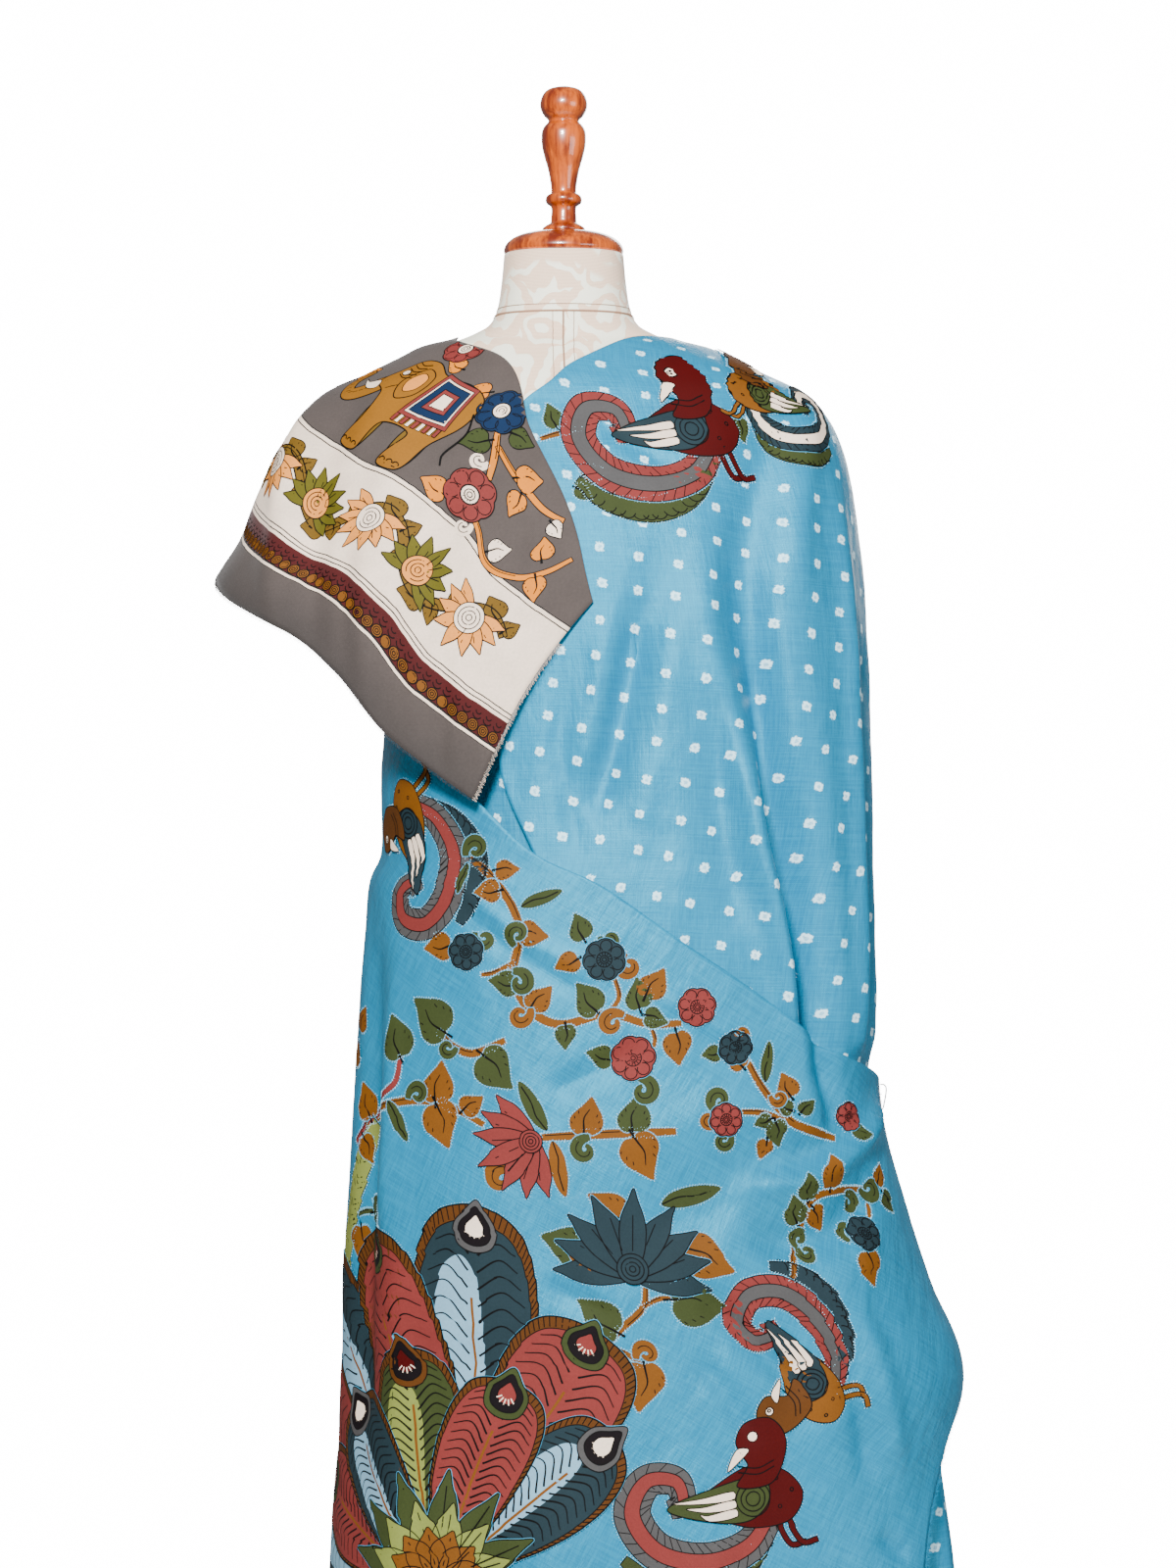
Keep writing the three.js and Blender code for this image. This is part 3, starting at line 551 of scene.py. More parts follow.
BACK_CREASES = [
    (-5, 14, "deg", 30, 1340, 36, 1120, 44, 860),
    (5, 14, "deg", 44, 1330, 62, 1060, 84, 780),
    (-5, 13, "deg", 60, 1300, 84, 1060, 112, 760),
    (4, 13, "deg", 80, 1240, 110, 1040, 140, 760),
    (-4, 12, "deg", 95, 1180, 122, 1000, 150, 820),
    (-5, 18, "deg", 90, 560, 94, 420, 100, 300),
    (5, 18, "deg", 118, 640, 122, 420, 128, 180),
    (-5, 18, "deg", 140, 620, 144, 380, 148, 120),
]
WRAP_CREASES = [
    (11, 12, "x", 122, 668, 160, 681, 195, 683, 236, 702, 262, 730),
    (-13, 19, "x", 140, 652, 185, 634, 226, 642, 250, 668),
    (-6, 9, "x", -16, 756, 20, 772, 56, 793),
    (-7, 9, "x", 96, 616, 140, 570, 192, 520),
    (-5, 8, "x", 258, 392, 282, 372),
    (-6, 20, "x", -158, 930, -164, 800, -168, 673, -170, 500),
    (4, 12, "x", -136, 900, -142, 780, -146, 640),
    (2.6, 6, "x", -96, 934, -40, 892, 20, 858),
    (-3, 7, "x", -84, 908, -40, 874, 10, 842),
    (3, 7, "x", 60, 850, 110, 822, 160, 794),
    (-5, 8, "x", -14, 606, 10, 590, 34, 582),
    (-5, 9, "x", 100, 545, 130, 520, 150, 480),
    (-6, 12, "x", 214, 590, 236, 520, 250, 450),
    (6, 13, "x", 240, 600, 262, 520, 276, 450),
    (-4, 14, "x", -20, 330, -26, 220, -30, 120),
    (4, 13, "x", 90, 330, 92, 220, 90, 120),
    (-4, 14, "x", 150, 340, 152, 220, 150, 120),
    (-4, 14, "deg", 176, 900, 178, 640, 180, 300),
]
HEM_CREASES = [
    (3, 9, "x", -225, 1230, -222, 1190, -222, 1150),
    (-3, 9, "x", -182, 1240, -180, 1180, -178, 1110),
    (3, 8, "x", -140, 1190, -138, 1120, -136, 1060),
    (-3, 8, "x", -96, 1150, -98, 1080, -102, 1020),
    (-2, 7, "x", -60, 1330, -30, 1260, -20, 1200),
]
creases = {
    "saree_chest_stretch": folds_on(silk, CHEST_CREASES),
    "saree_back_stretch": folds_on(silk, BACK_CREASES),
    "saree_front_wrap": folds_on(silk, WRAP_CREASES),
    "blouse_piece": folds_on(cape, HEM_CREASES),
}
pieces = {}
grids = {}


def cloth_piece(name, place, body, across, down, rough, seed, ring=False, size=70):
    """A shell with a little unevenness of its own, in place of the solid of the same name."""

    def relief(p, u, t):
        fade = 1.0 if ring else edge_fade(u, t)
        rise = rough * ripple(p, size, seed) + 0.25 * rough * ripple(p, size / 4, seed + 20)
        if name in creases:
            rise = rise + creases[name](p)
        return rise * fade

    pieces[name], grids[name] = shell(name + "_cloth", place, body, across, down, ring, relief)
    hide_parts(name)


cloth_piece("saree_underskirt", underskirt, skirt, 240, 110, rough=0.5, seed=3, ring=True)
cloth_piece("saree_underarm_stretch", underarm, silk, 110, 70, rough=0.3, seed=4)
cloth_piece("saree_chest_stretch", chest, silk, 110, 150, rough=0.7, seed=5)
cloth_piece("saree_back_stretch", back, silk, 104, 150, rough=0.9, seed=6)
cloth_piece("saree_front_wrap", wrap, silk, 160, 184, rough=0.9, seed=7)
cloth_piece("blouse_piece", blouse, cape, 130, 70, rough=0.6, seed=8, size=50)


# %% [markdown]
# The dress form is padded and covered, so it is a smooth loft. The cap, finial, pole and foot are
# turned wood: a profile spun round the axis, with enough sides to look round.

# %% Form and turned wood
def filled_loft(name, body, across, down):
    deg = np.arange(across) * 360 / across
    row = np.linspace(0, body.last, down + 1)
    p = grids["form_body"] = body.point(deg[None, :], row[:, None])
    verts = p.reshape(-1, 3)
    faces = [tuple(f) for f in grid_faces(down + 1, across, ring=True)]
    for j, z in ((0, p[0, 0, 2]), (down, p[-1, 0, 2])):
        middle = len(verts)
        verts = np.concatenate([verts, [[0, 0, z]]])
        for i in range(across):
            pair = (j * across + i, j * across + (i + 1) % across)
            faces.append((middle, *(pair if j == 0 else pair[::-1])))
    arcs = arc_of(body, np.broadcast_to(deg, p.shape[:2]), np.broadcast_to(row[:, None], p.shape[:2]))
    uvs = np.stack([arcs, p[..., 2]], -1).reshape(-1, 2)
    uvs = np.concatenate([uvs, [[0, body.heights[0]], [0, body.heights[-1]]]])
    return mesh_object(name, verts, faces, uvs)


def turned(name, profile, sides, node):
    """Turned wood: (radius, height) from the bottom up, in millimetres, closed on the axis."""
    angles = np.radians(np.arange(sides) * 360 / sides)
    rings = np.array([[(r * np.cos(a), r * np.sin(a), z) for a in angles] for r, z in profile])
    verts = np.concatenate([rings.reshape(-1, 3), [[0, 0, profile[0][1]], [0, 0, profile[-1][1]]]])
    faces = [tuple(f[::-1]) for f in grid_faces(len(profile), sides, ring=True)]
    bottom, top = len(verts) - 2, len(verts) - 1
    last_ring = (len(profile) - 1) * sides
    for i in range(sides):
        j = (i + 1) % sides
        faces.append((bottom, j, i))
        faces.append((top, last_ring + i, last_ring + j))
    piece = mesh_object(name, verts, faces)
    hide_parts(node)
    return piece


def fine_profile(profile):
    """A smooth line through a turner's main sizes, with five points for each."""
    rows = np.array(profile, float)
    knots = np.concatenate([[0], np.cumsum(np.linalg.norm(np.diff(rows, axis=0), axis=1))])
    return [tuple(r) for r in through(knots, rows)(np.linspace(0, knots[-1], 5 * len(rows)))]


SEAM = 0.35
CAP_FOOT = 1471 + SEAM
CAP = [(50.5, 0), (52, 3), (51, 7.5), (48.5, 11), (44, 14.4), (37, 17.4), (27, 19.4), (19, 20)]
FINIAL_FOOT = CAP_FOOT + 20 + SEAM
FINIAL = [
    (18.4, 0), (18.4, 3), (15.5, 5.4), (11.5, 8), (11, 12), (11, 21.5), (15, 24.8), (15.8, 28.2),
    (14.4, 31.6), (11, 34), (11.9, 45.2), (14, 55.4), (17, 65.6), (19.1, 75.8), (19.1, 86),
    (17.2, 91), (13.2, 96.2), (16.8, 100.4), (20, 106.4), (20.4, 112.4), (18, 119.2), (13.6, 123.4),
    (5, 126),
]
form_piece = filled_loft("form_cover", form, 144, 150)
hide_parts("form_body")
cap_piece = turned("neck_cap_wood", fine_profile([(r, CAP_FOOT + z) for r, z in CAP]), 96, "neck_cap")
finial_piece = turned("finial_wood", fine_profile([(r, FINIAL_FOOT + z) for r, z in FINIAL]), 72, "finial")
POLE = [(30, 26.35), (30, 37.4), (26, 42), (15, 48.3), (15, 699.6)]
BASE = [(166, 0), (169, 2), (170, 5), (170, 14), (168, 19), (164, 22), (156, 26)]
pole_piece = turned("stand_pole_wood", POLE, 48, "stand_pole")
base_piece = turned("stand_base_wood", BASE, 120, "stand_base")
print("form and stand made")


# %% [markdown]
# Materials. Several cloths share the same two effects, so these are shader node groups: a weave, which
# gives a height for the bump, and dye that lies unevenly, which gives a colour. Both read the cloth
# coordinates, so threads run with the cloth.

# %% Shared effects
def new_group(name, inputs, outputs):
    group = bpy.data.node_groups.new(name, "ShaderNodeTree")
    for title, kind, value in inputs:
        socket = group.interface.new_socket(title, in_out="INPUT", socket_type="NodeSocket" + kind)
        if value is not None:
            socket.default_value = value
    for title, kind in outputs:
        group.interface.new_socket(title, in_out="OUTPUT", socket_type="NodeSocket" + kind)
    return group, group.nodes.new("NodeGroupInput"), group.nodes.new("NodeGroupOutput")


class Wires:
    """Short calls that add nodes to a tree and join them."""

    def __init__(self, tree):
        self.tree = tree

    def node(self, kind, **settings):
        n = self.tree.nodes.new("ShaderNode" + kind)
        for key, value in settings.items():
            setattr(n, key, value)
        return n

    def put(self, socket, value):
        if isinstance(value, bpy.types.NodeSocket):
            self.tree.links.new(value, socket)
        elif value is not None:
            socket.default_value = value

    def math(self, operation, a, b=None, c=None):
        n = self.node("Math", operation=operation)
        for socket, value in zip(n.inputs, (a, b, c)):
            self.put(socket, value)
        return n.outputs[0]

    def span(self, value, low, high, to_low=0.0, to_high=1.0, smooth=True):
        n = self.node("MapRange", interpolation_type="SMOOTHSTEP" if smooth else "LINEAR")
        for socket, v in zip(n.inputs, (value, low, high, to_low, to_high)):
            self.put(socket, v)
        return n.outputs[0]

    def mix(self, share, a, b):
        n = self.node("Mix", data_type="RGBA")
        for socket, value in zip((n.inputs[0], n.inputs[6], n.inputs[7]), (share, a, b)):
            self.put(socket, value)
        return n.outputs[2]

    def vector(self, operation, *values, scale=None):
        n = self.node("VectorMath", operation=operation)
        for socket, value in zip(n.inputs, values):
            self.put(socket, value)
        if scale is not None:
            self.put(n.inputs["Scale"], scale)
        return n.outputs[0]

    def split(self, where):
        n = self.node("SeparateXYZ")
        self.put(n.inputs[0], where)
        return n.outputs

    def noise(self, where, scale, detail=3.0, rough=0.55, gives="Fac"):
        n = self.node("TexNoise")
        self.put(n.inputs["Vector"], where)
        self.put(n.inputs["Scale"], scale)
        self.put(n.inputs["Detail"], detail)
        self.put(n.inputs["Roughness"], rough)
        return n.outputs[gives]

    def stretched(self, where, scale, turn=0.0):
        n = self.node("Mapping")
        self.put(n.inputs["Vector"], where)
        self.put(n.inputs["Scale"], scale)
        self.put(n.inputs["Rotation"], (0, 0, turn))
        return n.outputs["Vector"]


def linear(rgb):
    """A screen colour (0 to 255) as the linear colour that shaders use."""
    c = np.asarray(rgb, float) / 255
    c = np.where(c <= 0.04045, c / 12.92, ((c + 0.055) / 1.055) ** 2.4)
    return (*[float(v) for v in c], 1.0)


VIEW_WHITE, VIEW_CURVE = 0.79, 1.95


def shown(rgb):
    """The base colour that comes out as a screen colour, under these lights and the view's soft curve."""
    return (*[min(1.0, (c / VIEW_WHITE) ** VIEW_CURVE) for c in linear(rgb)[:3]], 1.0)


def make_weave():
    """Crossing threads with slubs: Height for a bump, and Tone, which is 0.5 on average."""
    inputs = [("Where", "Vector", None), ("Threads", "Float", 900.0), ("Slub", "Float", 1.0)]
    group, start, end = new_group("weave", inputs, [("Height", "Float"), ("Tone", "Float")])
    w = Wires(group)
    where, threads, slub = (start.outputs[i] for i in range(3))
    waves = [w.math("SINE", w.math("MULTIPLY", axis, threads)) for axis in w.split(where)[:2]]
    cross = w.math("MULTIPLY", waves[0], waves[1])
    weft = w.noise(w.stretched(where, (22, 900, 1)), 1.0)
    warp = w.noise(w.stretched(where, (1100, 30, 1)), 1.0)
    uneven = w.math("ADD", w.math("SUBTRACT", weft, 0.5), w.math("SUBTRACT", warp, 0.5))
    slubs = w.math("MULTIPLY", uneven, slub)
    w.put(end.inputs[0], w.math("MULTIPLY_ADD", cross, 0.25, slubs))
    w.put(end.inputs[1], w.math("ADD", slubs, 0.5))
    return group


def make_dye():
    """Dye that lies unevenly: cloudy patches and fine flecks of light and dark."""
    inputs = [("Where", "Vector", None), ("Colour", "Color", (0.5, 0.5, 0.5, 1)), ("Uneven", "Float", 0.2)]
    group, start, end = new_group("uneven_dye", inputs, [("Colour", "Color")])
    w = Wires(group)
    where, colour, uneven = (start.outputs[i] for i in range(3))
    clouds = w.noise(where, 26.0, 4.0)
    flecks = w.noise(where, 420.0, 2.0)
    level = w.math("ADD", w.math("MULTIPLY", clouds, 0.6), w.math("MULTIPLY", flecks, 0.4))
    factor = w.math("MULTIPLY_ADD", w.math("SUBTRACT", level, 0.5), w.math("MULTIPLY", uneven, 4.0), 1.0)
    w.put(end.inputs[0], w.vector("SCALE", colour, scale=factor))
    return group


def make_dots():
    """Tie-dyed dots in slanting rows: a pale square with a darker prick, and a small pucker."""
    inputs = [("Where", "Vector", None), ("Ground", "Color", (0.1, 0.4, 0.5, 1)), ("Spacing", "Float", 0.03)]
    group, start, end = new_group("tied_dots", inputs, [("Colour", "Color"), ("Pucker", "Float")])
    w = Wires(group)
    where, ground, spacing = (start.outputs[i] for i in range(3))
    shift = w.vector("SUBTRACT", w.noise(where, 9.0, 2.0, 0.5, "Color"), (0.5, 0.5, 0.5))
    slanted = w.stretched(where, (1, 1, 1), turn=0.2)
    cells = w.node("TexVoronoi", voronoi_dimensions="2D", distance="MINKOWSKI")
    w.put(cells.inputs["Exponent"], 3.5)
    w.put(cells.inputs["Vector"], w.vector("ADD", slanted, w.vector("SCALE", shift, scale=0.012)))
    w.put(cells.inputs["Scale"], w.math("DIVIDE", 1.0, spacing))
    w.put(cells.inputs["Randomness"], 0.16)
    ragged = w.math("SUBTRACT", w.noise(where, 520.0, 2.0), 0.5)
    away = w.math("MULTIPLY_ADD", ragged, 0.16, cells.outputs["Distance"])
    dot = w.span(away, 0.138, 0.095)
    prick = w.span(away, 0.062, 0.03)
    pale = w.mix(dot, ground, shown((206, 224, 232)))
    w.put(end.inputs[0], w.mix(w.math("MULTIPLY", prick, 0.55), pale, shown((110, 168, 190))))
    w.put(end.inputs[1], w.span(away, 0.32, 0.0))
    return group


weave, dye, dots = make_weave(), make_dye(), make_dots()
SILK_THREADS, COTTON_THREADS, PAINTED_THREADS = 5200.0, 4200.0, 4600.0  # radians of thread a metre


def material(name, rough, sheen=0.0, metal=0.0, coat=0.0, specular=0.5, specular_tint=None):
    """A Principled material; its constant values are set on its own sockets."""
    made = bpy.data.materials.new(name)
    made.use_nodes = True
    shader = made.node_tree.nodes["Principled BSDF"]
    values = {"Roughness": rough, "Sheen Weight": sheen, "Metallic": metal, "Coat Weight": coat,
              "Coat Roughness": 0.06, "Specular IOR Level": specular}
    for title, value in values.items():
        shader.inputs[title].default_value = value
    if specular_tint:
        shader.inputs["Specular Tint"].default_value = specular_tint
    return made, shader, Wires(made.node_tree)


def use_group(w, group, **values):
    n = w.node("Group", node_tree=group)
    for title, value in values.items():
        w.put(n.inputs[title], value)
    return n


def dyed(w, shader, where, colour, uneven):
    mixed = use_group(w, dye, Where=where, Colour=colour, Uneven=uneven)
    w.put(shader.inputs["Base Color"], mixed.outputs[0])


def bump(w, shader, height, distance, strength):
    n = w.node("Bump")
    n.inputs["Distance"].default_value = distance
    n.inputs["Strength"].default_value = strength
    w.put(n.inputs["Height"], height)
    w.put(shader.inputs["Normal"], n.outputs[0])


def cloth_coordinates(w):
    return w.node("UVMap", uv_map="cloth").outputs[0]


# %% Silk
HIGHLIGHT = (0.18, 0.78, 1.0, 1)
# Painted highlight: a lighter, lit copy of the silk colour, which stands for light caught on the slubs.
SLUB_HIGHLIGHT = linear((16, 146, 184))


def silk_material(name, dotted, colour):
    made, shader, w = material(name, rough=0.37, specular=0.75, specular_tint=HIGHLIGHT)
    where = cloth_coordinates(w)
    slanted = where if dotted else w.stretched(where, (1, 1, 1), turn=0.5)
    threads = use_group(w, weave, Where=slanted, Threads=SILK_THREADS, Slub=1.0)
    ground = use_group(w, dye, Where=where, Colour=colour, Uneven=0.10).outputs[0]
    # Painted highlight: along the slubs the silk's colour goes up to four tenths of the way to its lit copy.
    lit = w.mix(w.span(threads.outputs["Tone"], 0.35, 0.65), ground, SLUB_HIGHLIGHT)
    tone = w.mix(0.4, ground, lit)
    creased = w.noise(w.stretched(slanted, (52, 17, 1)), 1.0, 4.0)
    puckers = w.math("MULTIPLY", creased, 9.0 if dotted else 15.0)
    height = w.math("ADD", threads.outputs["Height"], puckers)
    if dotted:
        spots = use_group(w, dots, Where=where, Ground=tone, Spacing=0.0305)
        tone = spots.outputs["Colour"]
        height = w.math("ADD", height, w.math("MULTIPLY", spots.outputs["Pucker"], 1.6))
    w.put(shader.inputs["Base Color"], tone)
    bump(w, shader, height, distance=0.00035, strength=0.55)
    return made


silk_dotted = silk_material("silk_dotted", True, linear((0, 112, 152)))
silk_plain = silk_material("silk_plain", False, linear((0, 108, 146)))


def finish_piece(piece, made):
    piece.data.materials.clear()
    piece.data.materials.append(made)


for name in ("saree_underskirt", "saree_underarm_stretch", "saree_chest_stretch", "saree_back_stretch"):
    finish_piece(pieces[name], silk_dotted)
finish_piece(pieces["saree_front_wrap"], silk_plain)


# %% Form cover, wood and steel
def jacquard():
    """Woven flowers and leaves, a shade apart from their ground, which is finely ribbed."""
    made, shader, w = material("form_jacquard", rough=0.7, sheen=0.2, specular=0.35)
    where = cloth_coordinates(w)
    cloud = w.noise(where, 30.0, 2.0, 0.5, "Color")
    cells = w.node("TexVoronoi", voronoi_dimensions="2D")
    w.put(cells.inputs["Vector"], w.vector("MULTIPLY_ADD", cloud, (0.05, 0.05, 0.0), where))
    w.put(cells.inputs["Scale"], 24.0)
    rings = w.math("SINE", w.math("MULTIPLY", cells.outputs["Distance"], 17.0))
    figure = w.math("MULTIPLY", w.span(rings, -0.1, 0.15), w.span(w.noise(where, 16.0, 1.0), 0.4, 0.46))
    threads = use_group(w, weave, Where=where, Threads=COTTON_THREADS, Slub=0.6)
    ribs = w.math("SINE", w.math("MULTIPLY", w.split(where)[1], 5200.0))
    ground = w.mix(w.span(ribs, -1, 1), shown((218, 200, 184)), shown((232, 216, 202)))
    tone = w.mix(figure, ground, shown((240, 229, 219)))
    dyed(w, shader, where, tone, 0.06)
    w.put(shader.inputs["Roughness"], w.span(figure, 0, 1, 0.85, 0.5))
    height = w.math("MULTIPLY_ADD", figure, 0.8, threads.outputs["Height"])
    bump(w, shader, height, distance=0.0004, strength=0.6)
    return made


finish_piece(form_piece, jacquard())


def wood_material():
    made, shader, w = material("honey_wood", rough=0.3, coat=0.8)
    where = w.node("TexCoord").outputs["Object"]
    grain = w.noise(w.stretched(where, (60, 60, 9)), 1.0, 5.0, 0.6)
    fine = w.noise(w.stretched(where, (420, 420, 30)), 1.0, 3.0)
    level = w.math("ADD", w.math("MULTIPLY", grain, 0.75), w.math("MULTIPLY", fine, 0.25))
    tone = w.mix(w.span(level, 0.38, 0.62), shown((146, 80, 26)), shown((206, 138, 62)))
    w.put(shader.inputs["Base Color"], tone)
    bump(w, shader, fine, distance=0.0002, strength=0.3)
    return made


wood = wood_material()
for piece in (cap_piece, finial_piece, pole_piece, base_piece):
    finish_piece(piece, wood)

steel, steel_shader, _ = material("pin_steel", rough=0.18, metal=1.0)
steel_shader.inputs["Base Color"].default_value = linear((205, 208, 212))
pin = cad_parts["safety_pin"].data
pin.materials.clear()
pin.materials.append(steel)


# %% [markdown]
# The saree carries applique: shapes cut from printed cotton, with dark pen lines on them and a pale
# thread whipped round the edges. Each is first drawn flat, in complex numbers of millimetres, and then
# laid on its cloth, where a place is (along, up): the length round the section and the height.

# %% Drawing on the flat
PATH_STEP = 2.6


def smooth_path(points, closed=False, step=PATH_STEP):
    """A smooth line through a few points."""
    spots = np.asarray(points, complex)
    count = len(spots)
    if closed:
        spots = np.concatenate([spots[-2:], spots, spots[:2]])
    knots = np.concatenate([[0], np.cumsum(np.maximum(np.abs(np.diff(spots)), 1e-6))])
    first, last = (knots[2], knots[2 + count]) if closed else (0, knots[-1])
    steps = max(4, int((last - first) / step))
    at = np.linspace(first, last, steps + 1)[: steps if closed else None]
    return through(knots, np.stack([spots.real, spots.imag], -1))(at) @ (1, 1j)


def outline_of(points, size=1.0):
    return smooth_path(np.array(points) * size, closed=True)


def line_of(points, size=1.0):
    return smooth_path(np.array(points) * size)


def mirrored(first, side, last):
    """An outline along one side from its first point to its last, and back along the mirror image."""
    return np.array([first, *side, last, *np.conj(side[::-1])])


def disc(centre, radius):
    return smooth_path(round_path(centre, radius)[:-1], closed=True)


def turned_by(degrees):
    return np.exp(1j * np.radians(degrees))


def strip(path, wide):
    """The outline of a strip along a path."""
    way = np.gradient(path)
    side = 0.5j * way / np.maximum(np.abs(way), 1e-9) * wide
    return np.concatenate([path + side, (path - side)[::-1]])


def round_path(centre, radius, start=0, stop=360, step=PATH_STEP):
    count = max(8, int(abs(radius * np.radians(stop - start)) / step))
    return centre + radius * turned_by(np.linspace(start, stop, count + 1))


def grown(outline, by):
    """A closed outline moved outwards."""
    way = np.roll(outline, -1) - np.roll(outline, 1)
    turning = np.sign(np.sum((np.conj(outline) * np.roll(outline, -1)).imag))
    return outline - 1j * turning * by * way / np.maximum(np.abs(way), 1e-9)


class Sketch:
    """Fills, pen lines and whipped edges. A later fill lies on the earlier ones."""

    def __init__(self):
        self.marks = []
        self.level = 0

    def fill(self, colour, outline, edge=True, pen=0.9):
        self.level += 1
        self.marks.append(("fill", colour, outline, 0.0, self.level))
        if pen:
            self.marks.append(("line", "ink", np.append(outline, outline[0]), pen, self.level + 0.5))
        if edge:
            around = grown(outline, 0.6)
            self.marks.append(("line", "thread", np.append(around, around[0]), 0.6, 0.3))
        return self

    def pen(self, path, wide=0.9, colour="ink"):
        self.marks.append(("line", colour, np.asarray(path), wide, self.level + 0.5))
        return self

    def moved(self, at=0, turn=0.0, flip=False):
        other = Sketch()
        for kind, colour, path, wide, level in self.marks:
            path = np.conj(path) if flip else path
            other.marks.append((kind, colour, at + path * turned_by(turn), wide, level))
        return other

    def add(self, other):
        self.marks += [(k, c, p, w, self.level + v) for k, c, p, w, v in other.marks]
        return self


# %% Leaves, curls and stems
def leaf(length, colour, plump=0.42, pen=0.0):
    """A heart-shaped leaf from its stalk at 0, with a curved vein and ticks along its edges."""
    upper = [0.02 - 0.02j, -0.04 + 0.2j, 0.1 + 0.42j, 0.34 + 0.47j, 0.6 + 0.3j, 0.85 + 0.1j, 1 + 0.0j]
    lower = [0.8 - 0.2j, 0.5 - 0.44j, 0.22 - 0.46j, 0.02 - 0.24j]
    points = np.array(upper + lower)
    outline = smooth_path((points.real + 1j * points.imag * plump / 0.46) * length, closed=True)
    vein = line_of([-0.16 - 0.02j, 0.12 + 0.03j, 0.4 + 0.08j, 0.66 - 0.02j], length)
    drawn = Sketch().fill(colour, outline, pen=pen)
    drawn.pen(vein, np.linspace(2.2, 0.7, len(vein)))
    for share in (0.26, 0.42, 0.58):
        for side in (1, -1):
            rim = share + side * 0.44j * plump / 0.46 * (1 - max(0, share - 0.3) * 1.3)
            drawn.pen(line_of([rim * 0.98, rim * 0.9 - 0.03], length), 0.8)
    return drawn


def long_leaf(length, colour):
    points = [0, 0.2 + 0.14j, 0.5 + 0.17j, 0.8 + 0.13j, 1 + 0.04j, 0.85 - 0.06j, 0.55 - 0.12j, 0.2 - 0.1j]
    drawn = Sketch().fill(colour, outline_of(points, length), pen=0)
    return drawn.pen(line_of([0, 0.3 + 0.05j, 0.6 + 0.01j, 0.9 + 0.04j], length), 1.1)


def curl(size, colour):
    """A hooked tendril that starts at 0 and rolls up at its end."""
    turn = np.linspace(0, 1, 26)
    path = np.cumsum(turned_by(75 - 330 * turn**1.6)) * size / 15
    path = path - path[0]
    outline = strip(path, size * (0.12 + 0.3 * np.sin(np.pi * np.clip(turn * 0.9 + 0.1, 0, 1))))
    return Sketch().fill(colour, outline, pen=0).pen(path[6:22], 0.8)


def stem(path, wide, colour, pen=0.0):
    taper = wide * (0.75 + 0.35 * np.sin(np.linspace(0.3, 2.9, len(path))))
    way = np.gradient(path)
    side = 0.22j * wide * way / np.abs(way)
    drawn = Sketch().fill(colour, strip(path, taper), pen=pen)
    return drawn.pen((path + side)[1 : max(4, int(len(path) * 0.6))], 0.8)


# %% Flowers
def rosette(radius, colour, petals=7):
    angles = np.radians(np.arange(0, 360, 3))
    outline = radius * (0.9 + 0.1 * np.abs(np.cos(angles * petals / 2)) ** 0.6) * np.exp(1j * angles)
    drawn = Sketch().fill(colour, outline, pen=1.0)
    for i in range(petals):
        middle = 360 * i / petals
        centre = 0.66 * radius * turned_by(middle)
        drawn.pen(round_path(centre, 0.27 * radius, middle - 150, middle + 150), 0.8)
    for ring in (0.36, 0.19, 0.1):
        drawn.pen(round_path(0, ring * radius), 0.8)
    for i in range(14):
        ray = turned_by(360 * i / 14)
        drawn.pen(np.array([0.21, 0.33]) * radius * ray, 0.7)
    return drawn


def petal(length, wide, bend=0):
    shape = mirrored(0, [0.3 + 0.42j, 0.62 + 0.46j, 0.88 + 0.16j], 1)
    bent = shape.real * length * np.exp(1j * bend * shape.real)
    return outline_of(bent + 1j * shape.imag * wide)


def lotus(size, colour, petals, opening, eye=None, plump=0.3, heart=0.17):
    """A lotus seen from the side, its base at 0, opening along +X."""
    drawn = Sketch()
    half = petals // 2
    for i in sorted(range(petals), key=lambda i: -abs(i - half)):
        lean = np.radians((i - half) * opening / (petals - 1))
        long = size * (1 - 0.13 * abs(i - half) / half)
        drawn.fill(colour, petal(long, size * plump, 0.12 * np.sign(i - half)) * np.exp(1j * lean))
        drawn.pen(np.array([0.3, 0.7]) * long * np.exp(1j * lean), 0.8)
    drawn.fill(eye or colour, disc(0.1 * size, heart * size), edge=False)
    for share in (0.72, 0.45, 0.2):
        drawn.pen(round_path(0.1 * size, share * heart * size, step=1.2), 0.9)
    return drawn


# %% Birds and plumes
PLUME_BARBS = 26
EYE_SIZE = 58


def plume(path, wide, colour, core):
    """A tail feather: a broad strip with a row of short curved barbs on each side of a core."""
    taper = wide * np.sin(np.linspace(0.5, 2.9, len(path))) ** 0.5
    drawn = Sketch().fill(colour, strip(path, taper))
    way = np.gradient(path)
    side = 1j * way / np.abs(way) * taper / 2
    for i in np.linspace(2, len(path) - 4, PLUME_BARBS).astype(int):
        for s in (1, -1):
            tip = path[min(i + 2, len(path) - 1)] + 0.97 * s * side[i]
            drawn.pen(np.array([path[i] + 0.45 * s * side[i], tip]), 0.7)
    inner = strip(path[2:-3], taper[2:-3] * 0.42)
    return drawn.fill(core, inner, edge=False, pen=0.8)


